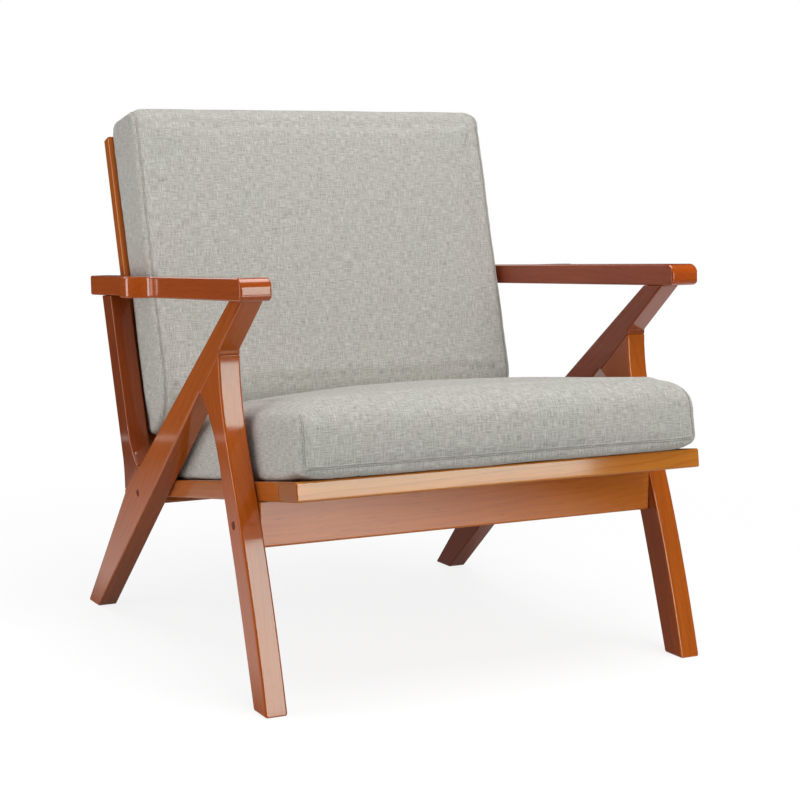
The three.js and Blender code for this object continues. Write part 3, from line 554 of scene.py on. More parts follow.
def make_armrests():
    """Armrests with a fully rounded nose and softened elbow, where the CAD ones have few facets."""
    for side_name, side in (("left", -1), ("right", 1)):
        name = f"armrest_{side_name}_shaped"
        node = nodes[f"armrest_{side_name}"]
        piece = add_object(name, arm_mesh(name, side))
        piece.data.polygons.foreach_set("use_smooth", [True] * len(piece.data.polygons))
        piece.data.materials.append(node.material_slots[0].material)
        modify(piece, "weigh", "WEIGHTED_NORMAL", weight=100)
        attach(piece, "frame")
        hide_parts(node.name)


# Cushions
def evened(points, spacing):
    """The closed outline resampled at an even spacing."""
    loop = np.array(points + points[:1])
    steps = np.linalg.norm(np.diff(loop, axis=0), axis=1)
    loop = loop[np.r_[True, steps > 1e-7]]
    steps = steps[steps > 1e-7]
    length = np.r_[0, np.cumsum(steps)]
    count = int(round(length[-1] / spacing))
    places = np.linspace(0, length[-1], count, endpoint=False)
    return np.column_stack([np.interp(places, length, loop[:, k]) for k in (0, 1)])


def slat_gaps(low, high, pitch, count):
    """Where the gaps between the slats begin and end along the cushion."""
    return [(low + pitch * k, high + pitch * k) for k in range(count)]


SEAT_GAPS = slat_gaps(0.06, 0.08131, 0.073305, 7)
BACK_GAPS = slat_gaps(0.06, 0.11016, 0.090162, 5)
SEAT = dict(front=-0.013, rear=0.5350, foot=0.0003, top=0.1003,
            foot_round=0.012, rear_round=0.060, front_round=0.036)
BACK = dict(rear=-0.0003, foot=0.043, top=0.5448, rear_top=0.5518, foot_front=-0.097, top_front=-0.114,
            foot_round=0.014, rear_round=0.022, top_round=0.028, front_round=0.080)
REAR_FOOT, REAR_TOP, FRONT_TOP, FRONT_FOOT = -1, 0, 1, 2
FORM_STEP = 0.008


def rounded_corner(end, level, radius, which):
    """Arc at one corner of a cushion's profile, between the upright edge and the level one."""
    y = end - radius if which in (REAR_FOOT, REAR_TOP) else end + radius
    z = level - radius if which in (REAR_TOP, FRONT_TOP) else level + radius
    start = which * math.pi / 2
    angles = np.linspace(start, start + math.pi / 2, 13)
    return [(y + radius * math.cos(a), z + radius * math.sin(a)) for a in angles]


def seat_outline():
    s = SEAT
    return (rounded_corner(s["rear"], s["foot"], s["foot_round"], REAR_FOOT)
            + rounded_corner(s["rear"], s["top"], s["rear_round"], REAR_TOP)
            + rounded_corner(s["front"], s["top"], s["front_round"], FRONT_TOP)
            + rounded_corner(s["front"], s["foot"], s["foot_round"], FRONT_FOOT))


def back_outline():
    b = BACK
    return (rounded_corner(b["rear"], b["rear_top"], b["rear_round"], REAR_TOP)
            + rounded_corner(b["top_front"], b["top"], b["top_round"], FRONT_TOP)
            + rounded_corner(b["foot_front"], b["foot"], b["front_round"], FRONT_FOOT)
            + rounded_corner(b["rear"], b["foot"], b["foot_round"], REAR_FOOT))


def cushion_form(outline, inset_of, crown_of, side_run, draw):
    """Closed cushion form in its own axes: points and faces. The outline is carried across the width.

    inset_of says how far the outline is drawn in at each end, over the last side_run of the width, and
    crown_of how far it bulges, from its place in shares of the half size. draw is how much an end hollows.
    """
    points = evened(outline, FORM_STEP)
    middle = (points.max(0) + points.min(0)) / 2
    half = (points.max(0) - points.min(0)) / 2
    tangent = unit(np.roll(points, -1, 0) - np.roll(points, 1, 0))
    inward = np.column_stack([-tangent[:, 1], tangent[:, 0]])
    straight = CUSHION_HALF - side_run
    turns = np.linspace(0, math.pi / 2, 7)[1:]
    corner = [(straight + side_run * math.sin(t), 1 - math.cos(t)) for t in turns]
    span = [(x, 0.0) for x in np.linspace(-straight, straight, int(2 * straight / FORM_STEP))]
    rings = [(-x, t) for x, t in reversed(corner)] + span + corner
    insets = np.array([inset_of(p) for p in points])
    verts = []
    for x, turn in rings:
        ring = points + inward * (insets * turn)[:, None]
        share = (ring - middle) / half
        across = 1 - (x / CUSHION_HALF) ** 2
        longest = share[:, 0] if half[0] > half[1] else share[:, 1]
        drawn = x * (1 - (draw / CUSHION_HALF) * (1 - longest ** 2))
        lift = np.array([crown_of(p) for p in share]) * across
        verts.append(np.column_stack([drawn, ring + lift]))
    return np.concatenate(verts), tube_faces(len(rings), len(points))


VOXEL, QUICK_VOXEL = 0.006, 0.012
CLOTH = dict(quality=5, mass=0.3, tension_stiffness=12, compression_stiffness=12, shear_stiffness=5,
             bending_stiffness=1.0, use_pressure=True, uniform_pressure_force=6.0, vertex_group_mass="held",
             pin_stiffness=1.0)
CLOTH_STEPS = 20
SHRINK = 0.006
MOST_SLIP = 0.003


def add_cloth(piece):
    """Cloth modifier that fills the piece with air. The group named held stays in place."""
    cloth = modify(piece, "cloth", "CLOTH")
    for key, value in CLOTH.items():
        setattr(cloth.settings, key, value)
    cloth.settings.effector_weights.gravity = 0.0
    cloth.collision_settings.use_collision = False
    cloth.point_cache.frame_start = 1
    cloth.point_cache.frame_end = CLOTH_STEPS


def inflated(piece, held_of, cap_of):
    """Remeshes and shrinks the piece, fills it by cloth simulation, and keeps each point within its cap.

    held_of says whether a point is held where the cushion rests, cap_of how far beyond its start it may go.
    """
    remade(piece, "remesh", "REMESH", mode="VOXEL", voxel_size=VOXEL)
    mesh = piece.data
    plain = coordinates(mesh)
    held = np.array([held_of(p) for p in plain])
    caps = np.array([cap_of(p) for p in plain])
    start = plain - vertex_values(mesh, "normal") * (SHRINK * (1 - held))[:, None]
    set_coordinates(mesh, start)
    group = piece.vertex_groups.new(name="held")
    group.add(np.nonzero(held > 0.5)[0].tolist(), 1.0, "REPLACE")
    add_cloth(piece)
    for step in range(1, CLOTH_STEPS + 1):
        scene.frame_set(step)
    depsgraph = bpy.context.evaluated_depsgraph_get()
    after = coordinates(piece.evaluated_get(depsgraph).data)
    normals = vertex_values(mesh, "normal")
    moved = after - start
    outward = (moved * normals).sum(1)
    aside = moved - normals * outward[:, None]
    slip = np.linalg.norm(aside, axis=1)
    aside *= (np.minimum(slip, MOST_SLIP) / np.maximum(slip, 1e-9))[:, None]
    out = np.clip(outward, SHRINK * 0.7, SHRINK + caps) * (1 - held)
    piece.modifiers.clear()
    piece.vertex_groups.clear()
    scene.frame_set(1)
    set_coordinates(mesh, start + normals * out[:, None] + aside * (1 - held)[:, None])


GUIDE_STEP = 0.004
GUIDE_INSET = 0.002
DART_REACH = 0.014
SEAM_DEPTH = 0.0028
SEAM_REACH = 0.008
PUCKER, PUCKERS_PER_METRE = 0.0007, 62
WOBBLE, WOBBLES_PER_METRE = 0.0009, 11
SAG = 0.0024
SAG_HALF, SAG_RIM = 0.272, 0.02


def ring_seam(outline, across):
    """Guide of a seam round the cushion's profile, a little inside it."""
    points = evened(outline, GUIDE_STEP)
    middle = (points.max(0) + points.min(0)) / 2
    points = middle + (points - middle) * (1 - GUIDE_INSET / np.abs(points - middle).max(1))[:, None]
    return np.column_stack([np.full(len(points), across), points])


def corner_darts(outline, across, foot, ends):
    """Guides of the darts that shape one end of the cover: the upright stretches of its ring seam."""
    ring = ring_seam(outline, across)
    upright = ring[ring[:, 2] > foot]
    return [upright[(upright[:, 1] - end) * way > -DART_REACH] for end, way in ends]


def drawn_in(piece, guides, seed):
    """Pulls the cloth in along its seams, with small puckers beside them, and lets it waver."""
    mesh = piece.data
    verts, normals = coordinates(mesh), vertex_values(mesh, "normal")
    points = [point for guide in guides for point in guide]
    tree = KDTree(len(points))
    for index, point in enumerate(points):
        tree.insert(point, index)
    tree.balance()
    shift = np.zeros(len(verts))
    for place, point in enumerate(verts):
        nearest, _, distance = tree.find(point)
        if distance < SEAM_REACH * 4:
            pucker = noise.noise(Vector(nearest) * PUCKERS_PER_METRE + Vector((seed, 0, 0)))
            shift[place] = SEAM_DEPTH * math.exp(-(distance / SEAM_REACH) ** 2)
            shift[place] += PUCKER * pucker * math.exp(-(distance / (SEAM_REACH * 2)) ** 2)
        shift[place] += WOBBLE * noise.noise(Vector(point) * WOBBLES_PER_METRE + Vector((0, seed, 0)))
    set_coordinates(mesh, verts - normals * shift[:, None])


def settled(piece, along, rest, way, gaps):
    """Lets the cushion sink a little between the slats it rests on.

    along is the axis across the slats, rest the axis out of them, and way the direction of sinking.
    """
    verts = coordinates(piece.data)
    on_slats = np.clip(1.5 - np.abs(verts[:, rest]) / 0.003, 0, 1)
    near = on_slats * np.clip((SAG_HALF - np.abs(verts[:, 0])) / SAG_RIM, 0, 1)
    for low, high in gaps:
        share = np.clip((verts[:, along] - low) / (high - low), 0, 1)
        verts[:, rest] += way * SAG * near * np.sin(share * math.pi) ** 2
    set_coordinates(piece.data, verts)


def surface_path(tree, guide, closed, spacing):
    """The guide laid on the surface: even points and the surface's normals there."""
    loop = np.vstack([guide, guide[:1]]) if closed else guide
    steps = np.r_[0, np.cumsum(np.linalg.norm(np.diff(loop, axis=0), axis=1))]
    count = int(round(steps[-1] / spacing))
    places = np.linspace(0, steps[-1], count, endpoint=not closed)
    even = np.column_stack([np.interp(places, steps, loop[:, k]) for k in range(3)])
    found = [tree.find_nearest(Vector(p)) for p in even]
    points = np.array([f[0] for f in found])
    normals = np.array([f[1] for f in found])
    for _ in range(3):
        for values in (points, normals):
            mean = (np.roll(values, 1, 0) + np.roll(values, -1, 0) + 2 * values) / 4
            values[1:-1] = mean[1:-1]
            if closed:
                values[[0, -1]] = mean[[0, -1]]
    return points, unit(normals)


# Seams and stitches. Their profiles are in millimetres
SEAM_PROFILE = [(-3.4, -0.9), (-2.4, 0.10), (-1.4, 0.46), (-0.6, 0.34), (0.0, -0.30),
                (0.6, 0.34), (1.4, 0.46), (2.4, 0.10), (3.4, -0.9)]
STITCH_PROFILE = [(-1.5, -0.35, 0.16), (-0.8, 0.12, 0.30), (0.8, 0.12, 0.30), (1.5, -0.35, 0.16)]
STITCH_SIDES = 6
SEAM_STEP = 0.0025
STITCH_STEP = 0.0042
STITCH_ASIDE = 0.0021
STITCH_LIFT = 0.0005
WRAP_CLOTH, SEAM_CLOTH, END_CLOTH = 0.0, 3.0, 7.0


def seam_mesh(name, tree, guides):
    """Lapped seams as ribbons that follow the cloth: two soft lips with the joint between them, which gets
    painted shade.
    """
    verts, faces, weave, dark = [], [], [], []
    for guide, closed in guides:
        points, normals = surface_path(tree, guide, closed, SEAM_STEP)
        tangents = np.roll(points, -1, 0) - np.roll(points, 1, 0)
        if not closed:
            tangents[0], tangents[-1] = points[1] - points[0], points[-1] - points[-2]
        sides = unit(np.cross(unit(tangents), normals))
        base, width = len(verts), len(SEAM_PROFILE)
        for row, (point, normal, side) in enumerate(zip(points, normals, sides)):
            pucker = 1 + 0.25 * noise.noise(Vector(point) * 150)
            for out, lift in SEAM_PROFILE:
                verts.append(point + side * out / 1000 + normal * lift * pucker / 1000)
                weave.append((row * SEAM_STEP, out / 1000, SEAM_CLOTH))
                # Painted shade: the joint, and to a lesser degree the lips beside it, are darkened as the
                # crease between them would shade them.
                dark.append(1.0 if out == 0 else 0.35 if abs(out) < 1 else 0.0)
        rows = len(points)
        for row in range(rows if closed else rows - 1):
            following = (row + 1) % rows
            for index in range(width - 1):
                a, b = base + row * width + index, base + following * width + index
                faces.append((a, a + 1, b + 1, b))
    mesh = plain_mesh(name, verts, faces)
    attribute = mesh.attributes.new("weave", "FLOAT_VECTOR", "POINT")
    attribute.data.foreach_set("vector", np.array(weave).ravel())
    # The seam attribute carries that painted shade to the linen material.
    attribute = mesh.attributes.new("seam", "FLOAT", "POINT")
    attribute.data.foreach_set("value", np.array(dark))
    return mesh


def stitch_mesh(name, tree, guides):
    """Lockstitches beside the seams: short spindles of thread that dip into the cloth at their ends."""
    verts, faces, sides = [], [], STITCH_SIDES
    for guide, closed in guides:
        points, normals = surface_path(tree, guide, closed, STITCH_STEP)
        following = np.roll(points, -1, 0)
        for point, normal, ahead in list(zip(points, normals, following))[:None if closed else -1]:
            tangent = (ahead - point) / np.linalg.norm(ahead - point)
            side = np.cross(tangent, normal)
            middle = point + side * STITCH_ASIDE + normal * STITCH_LIFT
            base = len(verts)
            for run, lift, radius in STITCH_PROFILE:
                for turn in range(sides):
                    angle = turn * 2 * math.pi / sides
                    offset = tangent * run + side * radius * math.cos(angle)
                    offset = offset + normal * (lift + radius * math.sin(angle))
                    verts.append(middle + offset / 1000)
            faces += tube_faces(len(STITCH_PROFILE), sides, base)
    return plain_mesh(name, verts, faces)


# Cushion forms
REST_HELD = 0.004
END_CAP, LEG_CAP, FACE_CAP = 0.0026, 0.0080, 0.0022
SEAT_CROWN, NOSE_DROP, BACK_CROWN = 0.018, 0.006, 0.012
FRONT_FOOT_INSET = 0.011
REAR_INSET, TOP_INSET, FACE_INSET = 0.003, 0.008, 0.010


def rise_allowed(point, end_cap, pressed):
    """How far the cloth may rise there: end_cap at the ends, and nothing where the other cushion presses."""
    at_end = np.interp(abs(point[0]), (0.275, 0.300), (0, 1))
    return end_cap * at_end + FACE_CAP * (1 - at_end) * (1 - pressed)


def seat_cushion_form():
    def crown(p):
        nose = -NOSE_DROP * max(-p[0], 0) ** 6 * (1 - p[1] ** 2)
        top = SEAT_CROWN * max(p[1], 0) * (1 - p[0] ** 2)
        return nose, top

    def inset(p):
        front_foot = np.interp(p[0], (0.02, 0.06), (FRONT_FOOT_INSET, 0.0))
        return np.interp(p[1], (0.004, 0.02, 0.06, 0.10), (front_foot, 0.006, 0.010, 0.024))

    def cap(p):
        under_back = np.interp(p[1], (0.26, 0.40), (0, 1))
        before_legs = np.interp(p[1], (0.006, 0.036), (LEG_CAP, END_CAP))
        return rise_allowed(p, before_legs, under_back)

    verts, faces = cushion_form(seat_outline(), inset, crown, side_run=0.050, draw=0.004)
    piece = add_object("seat_cushion_cover", solid_mesh("seat_cushion_cover", verts, faces))
    inflated(piece, lambda p: float(p[2] < REST_HELD), cap)
    return piece


def back_cushion_form():
    def crown(p):
        return -BACK_CROWN * max(-p[0], 0) * max(1 - p[1] ** 2, 0), 0.0

    def inset(p):
        if p[0] > -REST_HELD:
            return REAR_INSET
        return TOP_INSET if p[1] > BACK["top"] - BACK["top_round"] else FACE_INSET

    def cap(p):
        over_seat = np.interp(p[2], (0.10, 0.22), (1, 0))
        return rise_allowed(p, END_CAP, over_seat)

    verts, faces = cushion_form(back_outline(), inset, crown, side_run=0.020, draw=0.0)
    piece = add_object("back_cushion_cover", solid_mesh("back_cushion_cover", verts, faces))
    inflated(piece, lambda p: float(p[1] > -REST_HELD), cap)
    return piece


# Cloth
CHUNK = 4096
FACING_SIDE = 0.7
THREAD_WIDTH = 0.00095
LINEN_TONES = [(0.31, (151, 148, 141)), (0.5, (195, 193, 186)), (0.69, (224, 223, 217))]
DARK_SLUB, PALE_SLUB, SEAM_SHADE = (134, 131, 124), (228, 227, 221), (104, 100, 95)
DARK_SHARE, PALE_SHARE, TINT_SHARE = 0.16, 0.11, 0.55


def linen_material():
    """Heathered linen: a plain weave of uneven threads. The weave coordinate is stored on the faces."""
    material, tree = new_material("linen")
    place = add(tree, "ShaderNodeAttribute", attribute_name="weave").outputs["Vector"]

    def threads(scale, detail=2.0):
        return noise_value(tree, scaled(tree, place, scale), 1.0, detail)

    def slubbed(base, stops, share, colour):
        """The base with thicker threads in both directions, where their noise lies within the stops."""
        marks = [ramp(tree, slub, stops) for slub in slubs]
        shown = maths(tree, "MULTIPLY", maths(tree, "ADD", *marks), share, clamp=True)
        return mix_colour(tree, shown, base, srgb(*colour))

    # The weave: about one thread a millimetre, over and under in turn
    split = add(tree, "ShaderNodeSeparateXYZ", in_Vector=place)
    waves = [maths(tree, "SINE", maths(tree, "MULTIPLY", split.outputs[axis], math.pi / THREAD_WIDTH))
             for axis in (0, 1)]
    crossing = maths(tree, "MULTIPLY", *waves)
    over = maths(tree, "ADD", maths(tree, "MULTIPLY", crossing, 2.0), 0.5, clamp=True)
    weft, warp = threads((70, 860, 50)), threads((860, 70, 50))
    tone = add(tree, "ShaderNodeMix", data_type="FLOAT", in_0=over, in_2=weft, in_3=warp).outputs[0]
    slubs = [threads(scale, 1.0) for scale in ((36, 820, 30), (820, 36, 30))]
    base = ramp(tree, tone, [(at, srgb(*colour)) for at, colour in LINEN_TONES])
    base = slubbed(base, [(0.30, grey(1)), (0.37, grey(0.5)), (0.43, grey(0))], DARK_SHARE, DARK_SLUB)
    base = slubbed(base, [(0.60, grey(0)), (0.68, grey(1))], PALE_SHARE, PALE_SLUB)
    cloud = threads((9, 9, 9))
    tint = ramp(tree, cloud, [(0.35, srgb(255, 250, 250)), (0.65, srgb(248, 251, 247))])
    base = mix_colour(tree, TINT_SHARE, base, tint, "MULTIPLY")
    # Painted shade in the seams' crease, by the seam attribute.
    seam = add(tree, "ShaderNodeAttribute", attribute_name="seam").outputs["Fac"]
    base = mix_colour(tree, seam, base, srgb(*SEAM_SHADE))
    height = maths(tree, "ADD", maths(tree, "ABSOLUTE", crossing), maths(tree, "MULTIPLY", tone, 0.8))
    principled(tree, in_Base_Color=base, in_Roughness=0.92, in_Normal=bumped(tree, 0.5, 0.0005, height),
               in_Specular_IOR_Level=0.12, in_Sheen_Weight=0.12, in_Sheen_Roughness=0.5)
    return material


def store_weave(piece, outline, side_at, top=None):
    """Thread coordinates on the face corners: round the outline on the wrap, flat on the side panels.

    top is the height from which the cloth of the wrap hangs down over the sides, where it does.
    """
    mesh = piece.data
    points = evened(outline, GUIDE_STEP)
    ends = np.roll(points, -1, 0)
    length = np.r_[0, np.cumsum(np.linalg.norm(ends - points, axis=1))]
    verts = coordinates(mesh)
    flat = verts[:, 1:]
    nearest = np.empty(len(flat), int)
    for start in range(0, len(flat), CHUNK):
        chunk = flat[start:start + CHUNK]
        nearest[start:start + CHUNK] = ((chunk[:, None, :] - points[None]) ** 2).sum(2).argmin(1)
    tangent = unit(ends[nearest] - points[nearest])
    run = length[nearest] + ((flat - points[nearest]) * tangent).sum(1)
    total = length[-1]
    over_top = (length[:-1] + points[:, 0])[points[:, 1].argmax()]
    attribute = mesh.attributes.new("weave", "FLOAT_VECTOR", "CORNER")
    values = np.empty((len(mesh.loops), 3))
    corner_verts = np.empty(len(mesh.loops), int)
    mesh.loops.foreach_get("vertex_index", corner_verts)
    for polygon in mesh.polygons:
        loops = slice(polygon.loop_start, polygon.loop_start + polygon.loop_total)
        ids = corner_verts[loops]
        across, along, cloth = verts[ids, 0], run[ids], WRAP_CLOTH
        if abs(polygon.center.x) > side_at and abs(polygon.normal.x) > FACING_SIDE:
            if top is None:
                across, along, cloth = verts[ids, 1], verts[ids, 2], END_CLOTH
            else:
                across = np.sign(across) * (np.abs(across) + top - verts[ids, 2])
                along = over_top - verts[ids, 1]
        elif along.max() - along.min() > total / 2:
            along = np.where(along < total / 2, along + total, along)
        values[loops] = np.column_stack([across, along, np.full(len(ids), cloth)])
    attribute.data.foreach_set("vector", values.ravel())


def thread_material():
    return mottled_material("sewing_thread", 1400.0, 1.0, (88, 84, 78), (132, 128, 121), in_Roughness=0.6)


SEAM_FROM_END = 0.0068
LIP_HEIGHT = 0.0145
LIP_HALF = 0.2948
LIP_BULGE = 0.004
PANEL_DEPTH = 0.02


def dress_cushion(piece, axes, outline, guides, body, rest, linen, thread, top=None):
    """Subdivides the filled form, pulls it in at the seams, and sews seams and stitches onto it."""
    remade(piece, "subdivide", "SUBSURF", levels=1, render_levels=1)
    remade(piece, "ease", "SMOOTH", factor=0.5, iterations=2)
    settled(piece, *rest)
    drawn_in(piece, [guide for guide, _ in guides], len(body))
    store_weave(piece, outline, CUSHION_HALF - PANEL_DEPTH, top)
    mesh = piece.data
    tree = BVHTree.FromPolygons([v.co for v in mesh.vertices], [p.vertices for p in mesh.polygons])
    seams = add_object(f"{body}_seams", seam_mesh(f"{body}_seams", tree, guides))
    stitches = add_object(f"{body}_stitches", stitch_mesh(f"{body}_stitches", tree, guides))
    for part, material in ((piece, linen), (seams, linen), (stitches, thread)):
        part.data.transform(axes)
        part.data.polygons.foreach_set("use_smooth", [True] * len(part.data.polygons))
        part.data.materials.append(material)
        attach(part, body)
    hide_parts(body)


def seat_seam_guides(seam_at):
    """Darts up the four corners of the seat cover, and a lip along its foot at the front and the rear."""
    ends = ((SEAT["front"], -1), (SEAT["rear"], 1))
    guides = []
    for side in (-1, 1):
        darts = corner_darts(seat_outline(), side * seam_at, LIP_HEIGHT, ends)
        guides += [(dart, False) for dart in darts]
    for end, way in ends:
        lip = [(x, end + way * LIP_BULGE, LIP_HEIGHT) for x in np.linspace(-LIP_HALF, LIP_HALF, 140)]
        guides.append((np.array(lip), False))
    return guides


def make_cushions():
    linen, thread = linen_material(), thread_material()
    seam_at = CUSHION_HALF - SEAM_FROM_END
    dress_cushion(seat_cushion_form(), seat_axes, seat_outline(), seat_seam_guides(seam_at), "seat_cushion",
                  (1, 2, -1, SEAT_GAPS), linen, thread, SEAT["top"])
    back_guides = [(ring_seam(back_outline(), side * seam_at), True) for side in (-1, 1)]
    dress_cushion(back_cushion_form(), back_axes, back_outline(), back_guides, "back_cushion",
                  (2, 1, 1, BACK_GAPS), linen, thread)


# Studio
WORLD_LIGHT = 0.30
LIT_FLOOR = (0.54, 0.57)
SEEN_FLOOR = 0.20
SEEN_GLOW = 0.84
LOWEST_GLOSS = 0.02
OVERHEAD_GLOW, REAR_GLOW, STRIP_GLOW, RIGHT_FLOOR_GLOW = 5.8, 2.2, 5.0, 1.1
AIM = (0, 0, 0.40)
FRONT_BOX_POWER = 8.2 * math.pi * 2.41
FRONT_FILL_POWER = 22
TOP_POWER = 58
LEFT_POWER = 8.5


def area_lamp(name, place, target, width, height, power, colour=(1, 1, 1), mirrored=False):
    data = bpy.data.lights.new(name, "AREA")
    data.shape = "RECTANGLE"
    data.size, data.size_y = width, height
    data.energy = power
    data.color = colour
    lamp = add_object(name, data)
    lamp.location = place
    lamp.rotation_mode = "QUATERNION"
    lamp.rotation_quaternion = (Vector(target) - Vector(place)).to_track_quat("-Z", "Y")
    lamp.visible_camera = False
    lamp.visible_glossy = mirrored
    lamp.visible_diffuse = not mirrored


def seen_factor(tree):
    """1 for the camera's own rays and for those that gloss or glass sends on."""
    path = add(tree, "ShaderNodeLightPath")
    gloss = maths(tree, "ADD", path.outputs["Is Glossy Ray"], path.outputs["Is Transmission Ray"])
    return maths(tree, "ADD", path.outputs["Is Camera Ray"], gloss, clamp=True)


def make_world():
    world = bpy.data.worlds.new("studio")
    scene.world = world
    world.use_nodes = True
    tree = world.node_tree
    tree.nodes.clear()
    light = add(tree, "ShaderNodeBackground", in_Color=(0.96, 0.98, 1.0, 1), in_Strength=WORLD_LIGHT)
    white = add(tree, "ShaderNodeBackground", in_Color=(1, 1, 1, 1), in_Strength=1.0)
    seen = seen_factor(tree)
    mix = add(tree, "ShaderNodeMixShader", in_0=seen, in_1=light.outputs[0], in_2=white.outputs[0])
    add(tree, "ShaderNodeOutputWorld", in_Surface=mix.outputs[0])


def floor_reach(tree):
    """Distance from the middle of the scene."""
    return add(tree, "ShaderNodeVectorMath", operation="LENGTH", in_0=object_place(tree)).outputs["Value"]


def make_floor():
    """White floor that keeps the chair's shadow and turns into plain white further out."""
    bm = bmesh.new()
    bmesh.ops.create_grid(bm, x_segments=8, y_segments=8, size=30)
    mesh = bpy.data.meshes.new("studio_floor")
    bm.to_mesh(mesh)
    bm.free()
    floor = add_object("studio_floor", mesh)
    material, tree = new_material("studio_floor")
    paper = noise_value(tree, object_place(tree), 35.0, 2.0)
    white = ramp(tree, paper, [(0.0, grey(LIT_FLOOR[0])), (1.0, grey(LIT_FLOOR[1]))])
    lit = add(tree, "ShaderNodeBsdfDiffuse", in_Color=white)
    seen = seen_factor(tree)
    faint = add(tree, "ShaderNodeBsdfDiffuse", in_Color=grey(SEEN_FLOOR))
    glow = add(tree, "ShaderNodeEmission", in_Color=(1, 1, 1, 1), in_Strength=SEEN_GLOW)
    shown = add(tree, "ShaderNodeAddShader", in_0=faint.outputs[0], in_1=glow.outputs[0])
    near = add(tree, "ShaderNodeMixShader", in_0=seen, in_1=lit.outputs[0], in_2=shown.outputs[0])
    far = add(tree, "ShaderNodeEmission", in_Color=(1, 1, 1, 1), in_Strength=1.0)
    edge = maths(tree, "MULTIPLY", rising(tree, floor_reach(tree), 0.7, 0.9), seen)
    mix = add(tree, "ShaderNodeMixShader", in_0=edge, in_1=near.outputs[0], in_2=far.outputs[0])
    add(tree, "ShaderNodeOutputMaterial", in_Surface=mix.outputs[0])
    mesh.materials.append(material)


def gloss_card(name, rows, strength_of):
    """A studio card that only reflections see, from rows of points. strength_of gives its glow."""
    width = len(rows[0])
    starts = [row * width + index for row in range(len(rows) - 1) for index in range(width - 1)]
    faces = [(a, a + 1, a + width + 1, a + width) for a in starts]
    mesh = plain_mesh(name, [point for row in rows for point in row], faces)
    card = add_object(name, mesh)
    material, tree = new_material(name)
    glow = add(tree, "ShaderNodeEmission", in_Color=(1, 1, 1, 1), in_Strength=strength_of(tree))
    add(tree, "ShaderNodeOutputMaterial", in_Surface=glow.outputs[0])
    mesh.materials.append(material)
    card.visible_camera = card.visible_diffuse = card.visible_shadow = card.visible_transmission = False


def card_ring(radius, height_of):
    """Points round the chair at that radius. height_of gives their height from the turn in degrees."""
    turns = np.linspace(0, 2 * math.pi, 61)
    return [(radius * math.sin(t), -radius * math.cos(t), height_of(math.degrees(t))) for t in turns]


def make_surround():
    """What reflections see round the studio: a dark ring with a lid, and low cards before it."""
    tall, low = 6.0, 2.35
    rows = [card_ring(tall, lambda turn: 0.02), card_ring(tall, lambda turn: tall), [(0, 0, tall)] * 61]
    gloss_card("studio_surround", rows, lambda tree: LOWEST_GLOSS)

    def low_height(turn):
        if turn < 50 or turn > 340:
            return 0.42
        return 0.06 if 225 < turn < 255 else 0.95
    rows = [card_ring(low, lambda turn: 0.01), card_ring(low, low_height)]
    gloss_card("studio_low_cards", rows, lambda tree: LOWEST_GLOSS)


def open_floor_glow(tree):
    """Painted glow of the floor as reflections see it: bright beside and before the chair, dark under it and
    far out. The dark under the chair is a painted shadow.
    """
    split = add(tree, "ShaderNodeSeparateXYZ", in_Vector=object_place(tree))
    beside = rising(tree, maths(tree, "ABSOLUTE", split.outputs["X"]), 0.34, 0.08)
    before = falling(tree, split.outputs["Y"], -0.38, 0.10)
    open_floor = maths(tree, "MAXIMUM", beside, maths(tree, "MULTIPLY", before, 0.55))
    level = maths(tree, "ADD", maths(tree, "MULTIPLY", open_floor, 0.50), 0.18)
    fade = falling(tree, floor_reach(tree), 2.1, 1.5)
    return maths(tree, "ADD", maths(tree, "MULTIPLY", fade, level), LOWEST_GLOSS)


def front_light_glow(tree):
    """Painted pool of the front light on the floor, as reflections see it, which falls off to the right."""
    across = add(tree, "ShaderNodeSeparateXYZ", in_Vector=object_place(tree)).outputs["X"]
    return maths(tree, "ADD", maths(tree, "MULTIPLY", falling(tree, across, 0.92, 0.64), 4.4), 0.06)


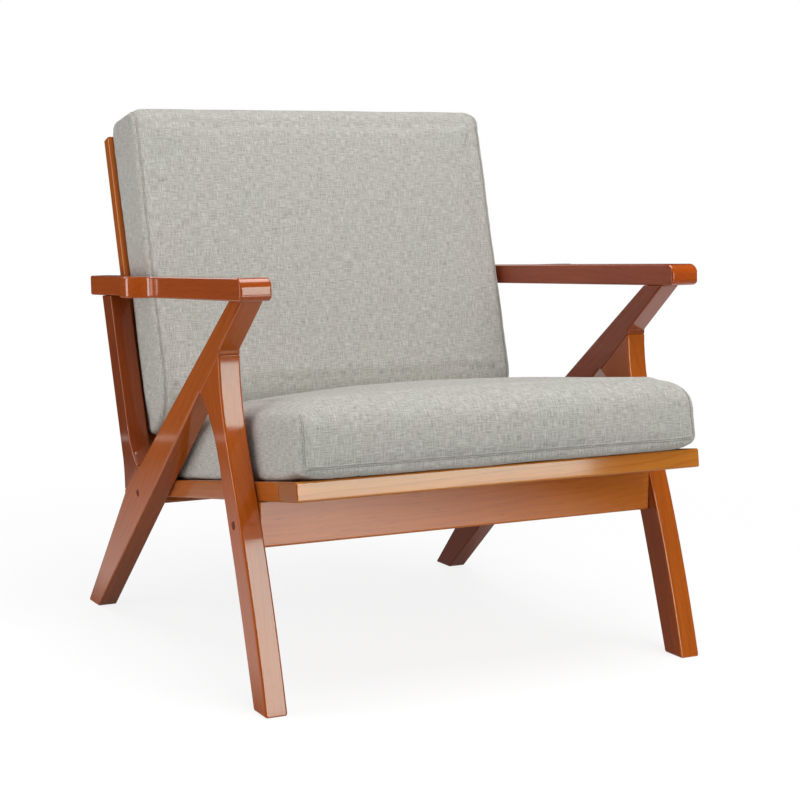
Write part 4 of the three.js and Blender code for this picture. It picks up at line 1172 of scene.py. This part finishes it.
def make_cards():
    """All cards: surround, floor, and soft boxes that draw light lines along the arrises."""
    make_surround()
    # The floor card paints the lit floor, and the chair's shadow on it, for reflections.
    rows = [card_ring(radius, lambda turn: 0.002) for radius in (0.001, 0.6, 1.2, 2.34)]
    gloss_card("studio_floor_card", rows, open_floor_glow)
    overhead = [[(x, y, 3.0) for x in (-0.6, 0.5, 1.6)] for y in (-0.65, 0.3, 1.2)]
    gloss_card("studio_overhead_card", overhead, lambda tree: OVERHEAD_GLOW)
    behind = [[(x, 4.6, z) for x in (-2.4, 0.0, 2.4)] for z in (1.9, 2.5, 3.1)]
    gloss_card("studio_rear_card", behind, lambda tree: REAR_GLOW)
    strip = [[(x, y, z) for x, y in ((-3.3, 2.9), (-3.6, 2.2), (-3.8, 1.5))] for z in (0.03, 1.0, 2.2)]
    gloss_card("studio_left_strip", strip, lambda tree: STRIP_GLOW)
    # A painted pool of light on the floor right of the chair, which only reflections see.
    beside_right = [[(x, y, 0.006) for x in (0.48, 0.75, 1.1)] for y in (-0.35, -0.05, 0.25)]
    gloss_card("studio_right_floor", beside_right, lambda tree: RIGHT_FLOOR_GLOW)
    # A painted pool of the front light on the floor, which only reflections see.
    front = [[(x, y, 0.004) for x in np.linspace(-0.4, 1.1, 6)] for y in np.linspace(-2.2, -1.05, 5)]
    gloss_card("studio_floor_glow", front, front_light_glow)


def make_lamps():
    """A front box that only reflections see, and three lamps that light the chair and aren't mirrored."""
    area_lamp("front_box", (1.0, -3.25, 1.2), AIM, 1.7, 1.42, FRONT_BOX_POWER, (0.86, 1.0, 0.92), True)
    area_lamp("front_fill", (0.3, -2.9, 1.4), AIM, 1.8, 1.4, FRONT_FILL_POWER)
    area_lamp("top_box", (0.2, -0.9, 3.0), AIM, 2.4, 2.0, TOP_POWER)
    area_lamp("left_box", (-1.6, 0.10, 0.45), (-0.3, -0.1, 0.35), 0.9, 0.9, LEFT_POWER)


scene.view_settings.view_transform = "Standard"
make_camera()
finish_timber()
make_armrests()
make_cushions()
make_world()
make_floor()
make_cards()
make_lamps()
